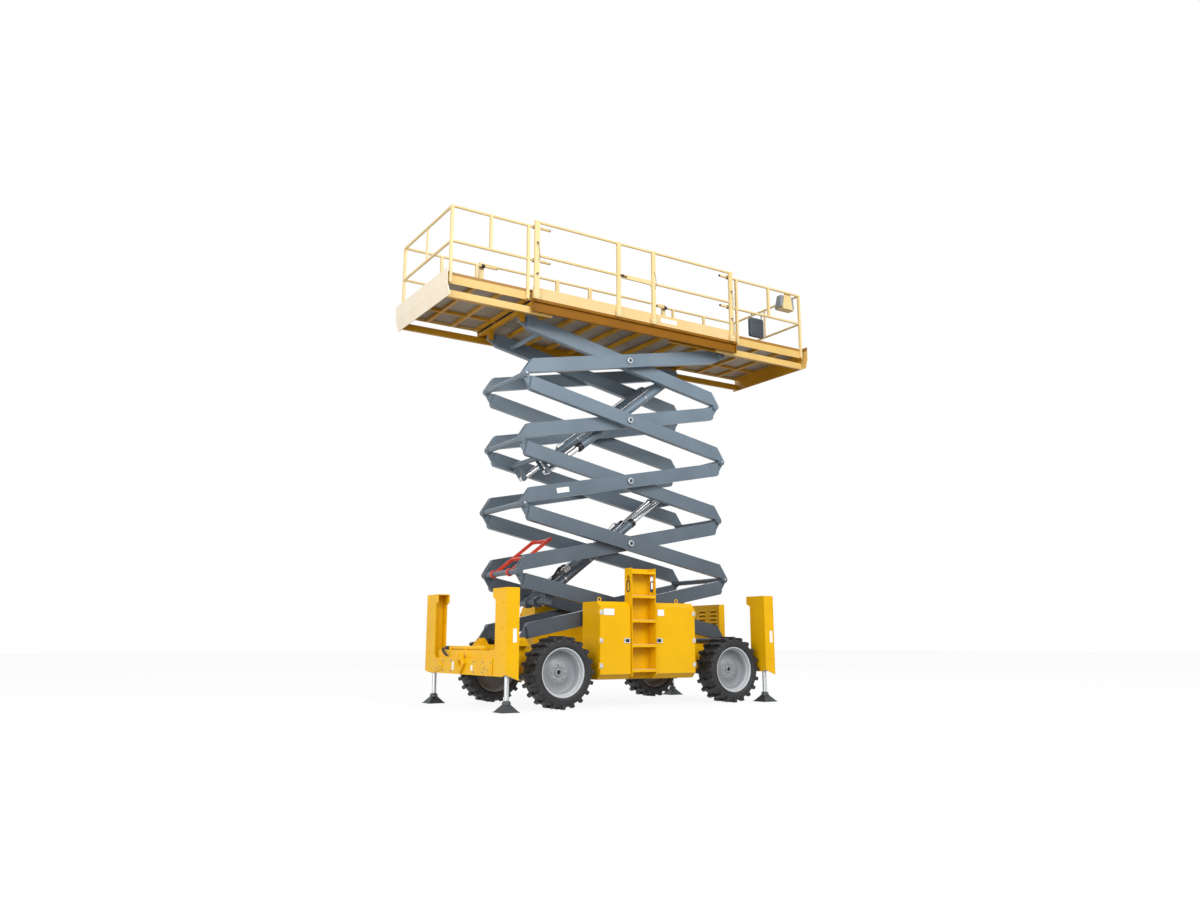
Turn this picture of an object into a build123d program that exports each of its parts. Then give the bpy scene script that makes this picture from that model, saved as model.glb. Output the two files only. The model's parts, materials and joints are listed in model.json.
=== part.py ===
from build123d import *
import math
import os

os.makedirs("parts", exist_ok=True)

# A rough-terrain scissor lift: four wheels, four hydraulic outriggers, five scissor levels and a
# platform whose deck extends at both ends.  It stands part raised, with both extensions out.
# +X is the front, +Y is left, +Z is up; the rear axle steers.  The ground is Z = 0 and X = 0 is the
# middle of the extended platform.  Lengths are in millimetres and angles in degrees.

# ---- driving dimensions -------------------------------------------------------------------

# running gear
wheelbase = 2860
rear_axle_x = -1550
tyre_diameter = 930
tyre_width = 340
tyre_outer_y = 1145
tread_depth = 34
lugs_per_side = 20
rim_radius = 325
rim_dish_depth = 150
rim_inset = 22
flange_width = 14
flange_height = 20
press_gap = 0.3
hub_radius = 62
axle_beam = 140
kingpin_y = 860
kingpin_radius = 20
steer_arm_length = 170

# chassis
frame_rear_x = -2300
frame_end_gap = 90
frame_top_z = 760
frame_bottom_z = 545
frame_rail_outer_y = 545
frame_rail_width = 150
belly_z = 400

# outriggers
leg_rear_x = -2368
leg_ahead = 93
leg_y = 1130
leg_rod_radius = 31
leg_travel = 300
guard_width = 180
guard_outer_y = 1270
guard_inner_y = 880
guard_top_z = 1525
guard_plate = 12
beam_depth = 160
beam_low_z = 430
beam_step_z = 640
beam_top_step_z = 748

# side boxes and ladder
box_rear_x = -990
box_front_x = 610
box_outer_y = 1120
box_inner_y = 682
box_bottom_z = 362
box_top_z = 1390
box_sheet = 5
door_thickness = 24
door_edge_gap = 4
hinge_radius = 9
hinge_pin_radius = 5
hinge_height = 38
hinge_levels = (543, 872, 1244)
ladder_rear_x = -485
ladder_front_x = -85
ladder_top_z = 1855
ladder_outer_y = 1145
ladder_back_y = 965
rung_pitch = 330
rung_low_z = 490

# scissor
arm_length = 3600
arm_depth = 200
arm_width = 90
rest_angle = 14.7
stack_gap = 8
outer_arm_y = 600
inner_arm_y = 495
scissor_pivot_x = -1900
scissor_pivot_z = 876
levels = 5
boss_radius = 52
pin_radius = 30
pin_clearance = 0.4
end_reach = 95
arm_taper = 130
cross_tube_radius = 38
side_play = 3
track_gap = 1

# lift cylinders: their low and high points on the inner arms' own axes
lower_cylinder_y = 130
upper_cylinder_y = 350
barrel_radius = 62
barrel_length = 2050
lift_rod_radius = 40
lift_rod_length = 2065
foot_tube_radius = 45
eye_tube_radius = 36
eye_radius = 44
eye_width = 72
low_u = -1230
low_v = -179
high_u = 917
high_v = 52

# platform
deck_rear_x = -1950
deck_front_x = 1742
rear_extension = 1250
front_extension = 1470
extension_overlap = 350
rail_height = 1180
rail_tube = 38
mid_rail_drop = 500
rail_y = 910
toe_y = 886
toe_height = 196
extension_rail_y = 848
extension_toe_y = 825
channel_height = 152
channel_web_y = 857
deck_clearance = 10
crossbar_depth = 50
floor_thickness = 12
tray_lift = 10
tray_rib = 40
beam_height = 96
beam_y = 807
end_plate_y = 925
gate_rear_x = -526
gate_front_x = 108

# ---- sizes worked out from the driving dimensions ------------------------------------------

front_axle_x = rear_axle_x + wheelbase
frame_front_x = scissor_pivot_x + arm_length + frame_end_gap
leg_front_x = frame_front_x + leg_ahead
tyre_radius = tyre_diameter / 2
tyre_mid_y = tyre_outer_y - tyre_width / 2
rim_outer_y = tyre_outer_y - rim_inset
bead_seat = rim_radius - flange_height
bead_half = tyre_width / 2 - rim_inset - flange_width - press_gap
dish_y = rim_outer_y - rim_dish_depth

corner_offset = (arm_depth + stack_gap) / 2
arm_span = math.sqrt(arm_length ** 2 - (2 * corner_offset) ** 2)
corner_angle = math.degrees(math.asin(2 * corner_offset / arm_length))
arm_tilt = rest_angle - corner_angle
level_rise = arm_length * math.sin(math.radians(rest_angle))
half_run = arm_length * math.cos(math.radians(rest_angle)) / 2
scissor_mid_x = scissor_pivot_x + half_run

top_level_z = scissor_pivot_z + (levels - 0.5) * level_rise
tilt_sin = math.sin(math.radians(arm_tilt))
tilt_cos = math.cos(math.radians(arm_tilt))
platform_pivot_x = scissor_mid_x - arm_span / 2 * tilt_cos
platform_roller_x = scissor_mid_x + arm_span / 2 * tilt_cos
platform_pivot_z = top_level_z + arm_span / 2 * tilt_sin

crossbar_bottom_z = platform_pivot_z + arm_depth / 2 + deck_clearance
floor_bottom_z = crossbar_bottom_z + crossbar_depth
floor_top_z = floor_bottom_z + floor_thickness
channel_bottom_z = floor_top_z - channel_height
tray_bottom_z = floor_top_z + tray_lift
tray_floor_z = tray_bottom_z + tray_rib
beam_top_z = crossbar_bottom_z - 18
beam_bottom_z = beam_top_z - beam_height
rail_top_z = floor_top_z + rail_height
extension_rail_top_z = rail_top_z - 55
platform_rear_x = deck_rear_x - rear_extension
platform_front_x = deck_front_x + front_extension

sides = (-1, 1)


# ---- shared shapes ---------------------------------------------------------------------------

def span(x_range, y_range, z_range, mode=Mode.ADD):
    # a plain bar or plate between its limits
    sizes = [abs(high - low) for low, high in (x_range, y_range, z_range)]
    middle = tuple((low + high) / 2 for low, high in (x_range, y_range, z_range))
    with Locations(middle):
        Box(*sizes, mode=mode)


def across(x, z, y_range, radius, mode=Mode.ADD):
    # a round bar along Y
    y_low, y_high = sorted(y_range)
    with Locations(Plane((x, (y_low + y_high) / 2, z), x_dir=(1, 0, 0), z_dir=(0, -1, 0))):
        Cylinder(radius, y_high - y_low, mode=mode)


def side_profile(points, y_range, holes=(), mode=Mode.ADD):
    # a plate whose outline is drawn in X and Z and whose thickness lies along Y
    y_low, y_high = sorted(y_range)
    with BuildSketch(Plane((0, y_high, 0), x_dir=(1, 0, 0), z_dir=(0, -1, 0))) as outline:
        Polygon(*points, align=None)
        for x, z, radius in holes:
            with Locations((x, z)):
                Circle(radius, mode=Mode.SUBTRACT)
    extrude(outline.sketch, amount=y_high - y_low, mode=mode)


def long_profile(points, x_range, mode=Mode.ADD):
    # a section drawn in Y and Z and drawn out along X
    x_low, x_high = sorted(x_range)
    with BuildSketch(Plane((x_low, 0, 0), x_dir=(0, 1, 0), z_dir=(1, 0, 0))) as section:
        Polygon(*points, align=None)
    extrude(section.sketch, amount=x_high - x_low, mode=mode)


def save(piece, label):
    piece.part.label = label
    export_step(piece.part, f"parts/{label}.step")


# ---- wheels ----------------------------------------------------------------------------------

lug_length = 150
lug_width = 62
lug_slant = 0.32
lug_crown = 1.2

with BuildPart() as tyre_shape:
    tread_seat = tyre_radius - tread_depth
    half = tyre_width / 2
    seat = bead_seat + press_gap
    side_wall = [
        (bead_half, seat), (bead_half, rim_radius + 4), (half - 10, rim_radius + 34),
        (half, (tread_seat + rim_radius) / 2), (half - 14, tread_seat - 26), (half - 48, tread_seat),
    ]
    with BuildSketch(Plane.XY):
        Polygon(*side_wall, *[(-x, radius) for x, radius in reversed(side_wall)], align=None)
    revolve(axis=Axis.X)
    lug_planes = []
    for row in sides:
        for number in range(lugs_per_side):
            angle = math.radians((number + (row + 1) / 4) * 360 / lugs_per_side)
            ahead = Vector(0, math.cos(angle), math.sin(angle))
            along = Vector(0, -math.sin(angle), math.cos(angle))
            origin = ahead * (tread_seat - 40) + Vector(row * (half - lug_length / 2 + 4), 0, 0)
            slant = along * (lug_slant * row) + Vector(1, 0, 0)
            lug_planes.append(Plane(origin, x_dir=slant, z_dir=ahead))
    with BuildSketch(*lug_planes):
        Rectangle(lug_length, lug_width)
    extrude(amount=tread_depth + 40 - lug_crown, taper=6)

with BuildPart() as rim_shape:
    # distance from the rim's outer face inward, and radius
    rim_width = tyre_width - 2 * rim_inset
    depth = rim_dish_depth
    well = bead_seat - 24
    with BuildSketch(Plane.XY):
        Polygon((0, rim_radius), (flange_width, rim_radius), (flange_width, bead_seat), (48, bead_seat),
                (70, well), (rim_width - 70, well), (rim_width - 48, bead_seat),
                (rim_width - flange_width, bead_seat), (rim_width - flange_width, rim_radius),
                (rim_width, rim_radius), (rim_width, bead_seat - 8), (rim_width - 40, well - 10),
                (depth + 40, well - 10), (depth + 14, hub_radius + 70), (depth + 14, 0), (depth - 30, 0),
                (depth - 30, hub_radius), (depth, hub_radius + 6), (depth, hub_radius + 80),
                (depth + 18, well - 30), (depth - 20, well - 12), (44, well - 10), (0, bead_seat - 4),
                align=None)
    revolve(axis=Axis.X)

wheel_table = (
    # name, axle x, side
    ("rear_right", rear_axle_x, -1),
    ("rear_left", rear_axle_x, 1),
    ("front_right", front_axle_x, -1),
    ("front_left", front_axle_x, 1),
)
for wheel_name, wheel_x, wheel_side in wheel_table:
    with BuildPart() as tyre:
        with Locations(Plane((wheel_x, wheel_side * tyre_mid_y, tyre_radius), x_dir=(0, wheel_side, 0),
                             z_dir=(0, 0, 1))):
            add(tyre_shape.part)
    save(tyre, f"tyre_{wheel_name}")
    with BuildPart() as rim:
        with Locations(Plane((wheel_x, wheel_side * rim_outer_y, tyre_radius), x_dir=(0, -wheel_side, 0),
                             z_dir=(0, 0, 1))):
            add(rim_shape.part)
    save(rim, f"rim_{wheel_name}")

# ---- axles and steering ----------------------------------------------------------------------

hub_face_y = dish_y - 14 - press_gap
axle_z = tyre_radius
hub_shaft_radius = 58
fork_half = 65
steer_gap = 1


def axle_centre(axle_x, half_length):
    # the beam, its differential and the two brackets that carry the frame
    span((axle_x - axle_beam / 2, axle_x + axle_beam / 2), (-half_length, half_length),
         (axle_z - axle_beam / 2, axle_z + axle_beam / 2))
    with Locations((axle_x, 0, axle_z)):
        Sphere(axle_beam)
    for side in sides:
        span((axle_x - 60, axle_x + 60), (side * (frame_rail_outer_y - 130), side * (frame_rail_outer_y - 10)),
             (axle_z, frame_bottom_z))


with BuildPart() as front_axle:
    axle_centre(front_axle_x, 700)
    for side in sides:
        across(front_axle_x, axle_z, (side * 700, side * 830), 105)
        across(front_axle_x, axle_z, (side * 830, side * hub_face_y), hub_shaft_radius)
save(front_axle, "front_axle")

with BuildPart() as rear_axle:
    axle_centre(rear_axle_x, 620)
    for side in sides:
        root_y = kingpin_y - 150
        span((rear_axle_x - 50, rear_axle_x + 50), (side * 620, side * root_y), (axle_z - 55, axle_z + 55))
        span((rear_axle_x - 45, rear_axle_x + 45), (side * root_y, side * (root_y + 60)),
             (axle_z - fork_half - 40, axle_z + fork_half + 40))
        for low_z in (axle_z - fork_half - 40, axle_z + fork_half + steer_gap):
            span((rear_axle_x - 45, rear_axle_x + 45), (side * root_y, side * (kingpin_y + 40)),
                 (low_z, low_z + 40 - steer_gap))
        with Locations((rear_axle_x, side * kingpin_y, axle_z)):
            Cylinder(kingpin_radius, 2 * fork_half + 60)
save(rear_axle, "rear_axle")

steer_arm_z = axle_z - fork_half + steer_gap


def make_knuckle(label, side):
    with BuildPart() as knuckle:
        with Locations((rear_axle_x, side * kingpin_y, axle_z)):
            Cylinder(46, 2 * fork_half - 2 * steer_gap)
        across(rear_axle_x, axle_z, (side * (kingpin_y + 30), side * hub_face_y), hub_shaft_radius)
        span((rear_axle_x - steer_arm_length - 24, rear_axle_x - 30),
             (side * (kingpin_y - 26), side * (kingpin_y + 10)), (steer_arm_z, steer_arm_z + 24))
        with Locations((rear_axle_x, side * kingpin_y, axle_z)):
            Cylinder(kingpin_radius + pin_clearance, 2 * fork_half, mode=Mode.SUBTRACT)
    save(knuckle, label)


make_knuckle("knuckle_right", -1)
make_knuckle("knuckle_left", 1)

tie_rod_x = rear_axle_x - steer_arm_length
tie_rod_radius = 18
with BuildPart() as tie_rod:
    tie_rod_z = steer_arm_z - press_gap - tie_rod_radius
    across(tie_rod_x, tie_rod_z, (-kingpin_y, kingpin_y), tie_rod_radius)
    across(tie_rod_x, tie_rod_z, (-300, 300), tie_rod_radius + 10)
save(tie_rod, "tie_rod")

# ---- chassis ---------------------------------------------------------------------------------

rail_inner_y = frame_rail_outer_y - frame_rail_width
lug_inner = outer_arm_y - arm_width / 2 + side_play
lug_outer = outer_arm_y + arm_width / 2 - side_play
tongue_half = 15
cheek_gap = tongue_half + 2
track_top_z = scissor_pivot_z - boss_radius - track_gap

with BuildPart() as chassis_frame:
    for side in sides:
        rail = [
            (side * rail_inner_y, frame_bottom_z), (side * frame_rail_outer_y, frame_bottom_z),
            (side * frame_rail_outer_y, frame_top_z), (side * rail_inner_y, frame_top_z),
        ]
        long_profile(rail, (frame_rear_x, frame_front_x))
        # the flat track that the lower inner arms slide on
        span((520, frame_front_x - 10), (side * (inner_arm_y - arm_width / 2 - 10),
                           side * (inner_arm_y + arm_width / 2)), (frame_top_z, track_top_z))
        # pivot lugs of the lower outer arms, on a seat bracketed out from the rail
        seat_z = scissor_pivot_z - boss_radius - 6
        seat_x = (scissor_pivot_x - 110, scissor_pivot_x + 110)
        span(seat_x, (side * rail_inner_y, side * frame_rail_outer_y), (frame_top_z, seat_z))
        span(seat_x, (side * frame_rail_outer_y, side * lug_outer), (seat_z - 18, seat_z))
        for y_low, y_high in ((lug_inner, outer_arm_y - cheek_gap), (outer_arm_y + cheek_gap, lug_outer)):
            lug = [
                (seat_x[0], seat_z - 10), (seat_x[1], seat_z - 10),
                (scissor_pivot_x + 40, scissor_pivot_z + 34), (scissor_pivot_x - 40, scissor_pivot_z + 34),
            ]
            side_profile(lug, (side * y_low, side * y_high))
        across(scissor_pivot_x, scissor_pivot_z, (side * (lug_inner - 6), side * (lug_outer + 6)),
               pin_radius)
    crossing_table = (
        # x, half width along X, bottom z, top z
        (frame_rear_x + 60, 60, frame_bottom_z, frame_top_z),
        (rear_axle_x - 250, 50, frame_bottom_z, frame_top_z - 110),
        (-950, 50, frame_bottom_z, frame_top_z - 110),
        (-190, 50, frame_bottom_z, frame_top_z - 110),
        (570, 50, frame_bottom_z, frame_top_z - 110),
        (front_axle_x + 250, 50, frame_bottom_z, frame_top_z - 110),
        (frame_front_x - 60, 60, frame_bottom_z, frame_top_z),
    )
    for x, half, low, high in crossing_table:
        span((x - half, x + half), (-rail_inner_y, rail_inner_y), (low, high))
    # outrigger cross members that carry the side boxes
    for x in (box_rear_x + 60, box_front_x - 60):
        span((x - 40, x + 40), (-box_inner_y, box_inner_y), (belly_z, frame_bottom_z))
    span((box_rear_x, box_front_x), (-frame_rail_outer_y, frame_rail_outer_y), (belly_z - 8, belly_z))
save(chassis_frame, "chassis_frame")

# ---- outriggers ------------------------------------------------------------------------------

jack_bore = leg_rod_radius + 1
jack_half = 62
jack_bottom_z = 470
jack_top_z = guard_top_z - 60


def make_outrigger(label, leg_x, frame_end_x):
    outward = 1 if leg_x > 0 else -1
    low_x = leg_x - guard_width / 2
    high_x = leg_x + guard_width / 2
    beam_x = (frame_end_x, frame_end_x + outward * beam_depth)
    with BuildPart() as outrigger:
        # stepped cross beam from side to side
        span(beam_x, (-guard_inner_y - 40, guard_inner_y + 40), (beam_low_z, beam_step_z))
        span((beam_x[0], beam_x[1] - outward * 40), (-guard_inner_y, guard_inner_y),
             (beam_step_z, beam_top_step_z))
        # diamond towing bracket with a square eye
        with BuildSketch(Plane((beam_x[1], 0, 575), x_dir=(0, 1, 0), z_dir=(outward, 0, 0))):
            Rectangle(190, 190, rotation=45)
            Rectangle(80, 80, rotation=45, mode=Mode.SUBTRACT)
        extrude(amount=36)
        for side in sides:
            # folded guard: two flanges and an outer plate whose lower edge slants down
            for x in ((low_x, low_x + guard_plate), (high_x - guard_plate, high_x)):
                with BuildSketch(Plane((x[0], 0, 0), x_dir=(0, 1, 0), z_dir=(1, 0, 0))):
                    Polygon(
                        (side * guard_outer_y, 455), (side * guard_outer_y, guard_top_z),
                        (side * guard_inner_y, guard_top_z), (side * guard_inner_y, guard_top_z - 110),
                        (side * (guard_inner_y + 75), guard_top_z - 150),
                        (side * (guard_inner_y + 75), 700), (side * guard_inner_y, 640),
                        (side * guard_inner_y, 430), (side * (guard_outer_y - 120), 430), align=None)
                extrude(amount=guard_plate)
            side_profile([(low_x, 455), (high_x, 385), (high_x, guard_top_z), (low_x, guard_top_z)],
                         (side * (guard_outer_y - guard_plate), side * guard_outer_y))
            span((low_x, high_x), (side * guard_inner_y, side * guard_outer_y),
                 (guard_top_z - guard_plate, guard_top_z))
            # inner web and the square tube that guides the leg
            span((low_x, high_x), (side * (leg_y - jack_half - 12), side * (leg_y - jack_half)),
                 (455, guard_top_z))
            span((leg_x - jack_half, leg_x + jack_half), (side * (leg_y - jack_half), side * (leg_y + jack_half)),
                 (jack_bottom_z, jack_top_z))
            span((leg_x - jack_half, leg_x + jack_half), (side * (leg_y - jack_half - 12), side * guard_outer_y),
                 (jack_bottom_z, jack_bottom_z + 30))
            with Locations((leg_x, side * leg_y, jack_top_z - 20 - 500)):
                Cylinder(jack_bore, 1000, mode=Mode.SUBTRACT)
            with Locations((leg_x, side * leg_y, jack_bottom_z)):
                Cylinder(jack_bore, 200, mode=Mode.SUBTRACT)
    save(outrigger, label)


make_outrigger("outrigger_rear", leg_rear_x, frame_rear_x)
make_outrigger("outrigger_front", leg_front_x, frame_front_x)

leg_table = (
    # name, x, side
    ("rear_right", leg_rear_x, -1),
    ("rear_left", leg_rear_x, 1),
    ("front_right", leg_front_x, -1),
    ("front_left", leg_front_x, 1),
)
rod_top_z = jack_top_z - 40 - leg_travel
for leg_name, leg_x, leg_side in leg_table:
    with BuildPart() as leg:
        with BuildSketch(Plane.XY):
            with Locations((leg_x, leg_side * leg_y)):
                Rectangle(250, 250)
        extrude(amount=10)
        with BuildSketch(Plane.XY.offset(10)):
            with Locations((leg_x, leg_side * leg_y)):
                Rectangle(230, 230)
        with BuildSketch(Plane.XY.offset(92)):
            with Locations((leg_x, leg_side * leg_y)):
                Rectangle(84, 84)
        loft()
        with Locations((leg_x, leg_side * leg_y, (90 + rod_top_z) / 2)):
            Cylinder(leg_rod_radius, rod_top_z - 90)
    save(leg, f"leg_{leg_name}")

# ---- side boxes, doors and ladder ------------------------------------------------------------

box_chamfer = 55
recess_gap = 8
bay_table = (
    # name, rear x, front x
    ("rear", box_rear_x, ladder_rear_x - recess_gap),
    ("front", ladder_front_x + recess_gap, box_front_x),
)


def box_section(outer_y, side, inset=0):
    # the section of a box across the machine, with its chamfered top and bottom edges
    low = box_bottom_z + inset
    high = box_top_z - inset
    inner = box_inner_y + inset
    outer = outer_y - inset
    cut = box_chamfer
    return [
        (side * inner, low), (side * (outer - cut), low), (side * outer, low + cut),
        (side * outer, high - cut), (side * (outer - cut), high), (side * inner, high),
    ]


hinge_axis_x = {-1: box_rear_x - 8, 1: box_front_x + 8}
hinge_y = box_outer_y - 6


def make_side_box(label, side):
    shell_y = box_outer_y - door_thickness - press_gap
    with BuildPart() as side_box:
        long_profile(box_section(shell_y, side), (box_rear_x, box_front_x))
        for _, rear_x, front_x in bay_table:
            long_profile(box_section(shell_y, side, box_sheet), (rear_x + box_sheet, front_x - box_sheet),
                         mode=Mode.SUBTRACT)
            span((rear_x + 40, front_x - 40), (side * (shell_y - 60), side * (shell_y + 60)),
                 (box_bottom_z + 80, box_top_z - 80), mode=Mode.SUBTRACT)
        # the bay behind the ladder is set back
        span((ladder_rear_x - recess_gap + box_sheet, ladder_front_x + recess_gap - box_sheet),
             (side * (ladder_back_y - 2), side * (shell_y + 60)), (box_bottom_z - 5, box_top_z + 5),
             mode=Mode.SUBTRACT)
        span((ladder_rear_x, ladder_front_x), (side * (box_inner_y + box_sheet),
                                               side * (ladder_back_y - 2 - box_sheet)),
             (box_bottom_z + box_sheet, box_top_z - box_sheet), mode=Mode.SUBTRACT)
        # hinge knuckles and pins of the two doors
        for end in sides:
            x = hinge_axis_x[end]
            for z in hinge_levels:
                with Locations((x, side * hinge_y, z)):
                    Cylinder(hinge_pin_radius, hinge_height + 40)
                for knuckle_z in (z - hinge_height / 2 - 11, z + hinge_height / 2 + 11):
                    with Locations((x, side * hinge_y, knuckle_z)):
                        Cylinder(hinge_radius, 20)
                    span((x - end * 2, x - end * 9),
                         (side * (shell_y - 14), side * (hinge_y - 2)), (knuckle_z - 10, knuckle_z + 10))
        # feet that sit on the frame's cross members
        for x in (box_rear_x + 60, box_front_x - 60):
            span((x - 40, x + 40), (side * (box_inner_y - 80), side * box_inner_y),
                 (frame_bottom_z, frame_bottom_z + 60))
    save(side_box, label)


make_side_box("side_box_right", -1)
make_side_box("side_box_left", 1)


def make_door(label, side, rear_x, front_x, hinge_end):
    hinge_x = hinge_axis_x[hinge_end]
    door_edge = rear_x + door_edge_gap if hinge_end < 0 else front_x - door_edge_gap
    with BuildPart() as door:
        shell_y = box_outer_y - door_thickness
        chamfer = box_chamfer + 14
        face = [
            (side * shell_y, box_bottom_z + box_chamfer), (side * box_outer_y, box_bottom_z + chamfer),
            (side * box_outer_y, box_top_z - chamfer), (side * shell_y, box_top_z - box_chamfer),
        ]
        long_profile(face, (rear_x + door_edge_gap, front_x - door_edge_gap))
        for z in hinge_levels:
            span((hinge_x, door_edge - hinge_end), (side * (hinge_y - 2), side * (hinge_y + 4)),
                 (z - hinge_height / 2, z + hinge_height / 2))
            with Locations((hinge_x, side * hinge_y, z)):
                Cylinder(hinge_radius, hinge_height)
                Cylinder(hinge_pin_radius + pin_clearance, hinge_height, mode=Mode.SUBTRACT)
    save(door, label)


make_door("door_right_rear", -1, *bay_table[0][1:], -1)
make_door("door_right_front", -1, *bay_table[1][1:], 1)
make_door("door_left_rear", 1, *bay_table[0][1:], -1)
make_door("door_left_front", 1, *bay_table[1][1:], 1)

with BuildPart() as ladder:
    for x in (ladder_rear_x, ladder_front_x - 6):
        with BuildSketch(Plane((x, 0, 0), x_dir=(0, 1, 0), z_dir=(1, 0, 0))):
            Polygon((-ladder_back_y, box_bottom_z), (-ladder_outer_y, box_bottom_z + 40),
                    (-ladder_outer_y, ladder_top_z), (-ladder_back_y, ladder_top_z), align=None)
            with Locations((-(ladder_outer_y + ladder_back_y) / 2, 1645)):
                SlotOverall(230, 72, rotation=90, mode=Mode.SUBTRACT)
        extrude(amount=6)
    span((ladder_rear_x, ladder_front_x), (-ladder_back_y, -ladder_back_y - 5), (box_bottom_z, ladder_top_z))
    for number in range(5):
        rung_z = rung_low_z + number * rung_pitch
        rung = [(-ladder_back_y, rung_z), (-ladder_outer_y, rung_z), (-ladder_outer_y, rung_z - 36),
                (-ladder_outer_y + 6, rung_z - 36), (-ladder_outer_y + 6, rung_z - 6), (-ladder_back_y, rung_z - 6)]
        long_profile(rung, (ladder_rear_x, ladder_front_x))
    for x in (ladder_rear_x + 60, ladder_front_x - 60):
        span((x - 20, x + 20), (-ladder_back_y, -ladder_back_y + 2), (800, 1000))
save(ladder, "ladder")

with BuildPart() as engine:
    span((-50, 540), (box_inner_y + box_sheet, 1020), (box_bottom_z + box_sheet, 1150))
save(engine, "engine_block")

with BuildPart() as tank:
    span((-50, 540), (-1020, -box_inner_y - box_sheet), (box_bottom_z + box_sheet, 950))
save(tank, "hydraulic_tank")

# louvred cowl over the oil cooler at the front end
cowl_x = (frame_front_x + 5, frame_front_x + beam_depth - 45)
cowl_y = (-230, 600)
cowl_top_z = 1430
with BuildPart() as cowl:
    span(cowl_x, cowl_y, (beam_top_step_z, cowl_top_z))
    span((cowl_x[0] + box_sheet, cowl_x[1] - box_sheet), (cowl_y[0] + box_sheet, cowl_y[1] - box_sheet),
         (beam_top_step_z + box_sheet, cowl_top_z - box_sheet), mode=Mode.SUBTRACT)
    for column in range(3):
        for row in range(4):
            centre = (cowl_x[0], cowl_y[0] + 140 + column * 275, cowl_top_z - 110 - row * 62)
            with Locations(Location(centre, (0, -30, 0))):
                Box(16, 148, 24, mode=Mode.SUBTRACT)
save(cowl, "front_cowl")

# ---- scissor arms ----------------------------------------------------------------------------


def arm_plane(level, rising):
    # the side view of an arm: its origin is the centre pin and its x runs along the arm
    lean = rising * math.radians(arm_tilt)
    z = scissor_pivot_z + (level - 0.5) * level_rise
    return Plane((scissor_mid_x, 0, z), x_dir=(math.cos(lean), 0, math.sin(lean)), z_dir=(0, -1, 0))


def end_outline(end, pivot_v):
    # corner points of one arm end, from low to high, tapered to the boss round its pivot
    x_end = end * arm_span / 2
    nose = 0.7 * boss_radius
    back = x_end - end * arm_taper
    half = arm_depth / 2
    if pivot_v > 0:
        return [(back, -half), (x_end + end * nose, pivot_v - nose), (x_end, half)]
    if pivot_v < 0:
        return [(x_end, -half), (x_end + end * nose, pivot_v + nose), (back, half)]
    return [(back, -half), (x_end + end * nose, -nose), (x_end + end * nose, nose), (back, half)]


def arm_slab(plane, y_mid, half_width, points, circles, mode=Mode.ADD):
    # extrudes an outline on an arm's plane, centred on y_mid
    with BuildSketch(plane.offset(-(y_mid + half_width))) as outline:
        if points:
            Polygon(*points, align=None)
        for u, v, radius in circles:
            with Locations((u, v)):
                Circle(radius)
    extrude(outline.sketch, amount=2 * half_width, mode=mode)


def end_window(end):
    # everything within reach of a pivot, for cutting a tongue or a fork
    near = end * (arm_span / 2 - end_reach)
    far = end * (arm_span / 2 + 2 * end_reach)
    return [(near, -arm_depth), (far, -arm_depth), (far, arm_depth), (near, arm_depth)]


def eye_lugs(plane, y_mid, eye_u, eye_v, tube_u, tube_v):
    # two plates either side of an open rod eye, carried by a cross tube beyond it
    reach = 1 if tube_u > eye_u else -1
    plate = [
        (tube_u, tube_v - 34), (tube_u, tube_v + 34), (eye_u, eye_v + 40),
        (eye_u - reach * 40, eye_v), (eye_u, eye_v - 40),
    ]
    for side in sides:
        for face in sides:
            near = eye_width / 2 + side_play * 2
            far = eye_width / 2 + 40
            arm_slab(plane, side * y_mid + face * (far - 6), 6, plate, [])
            arm_slab(plane, side * y_mid + face * (near + far) / 2, (far - near) / 2, None, [(eye_u, eye_v, 24)])


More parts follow.
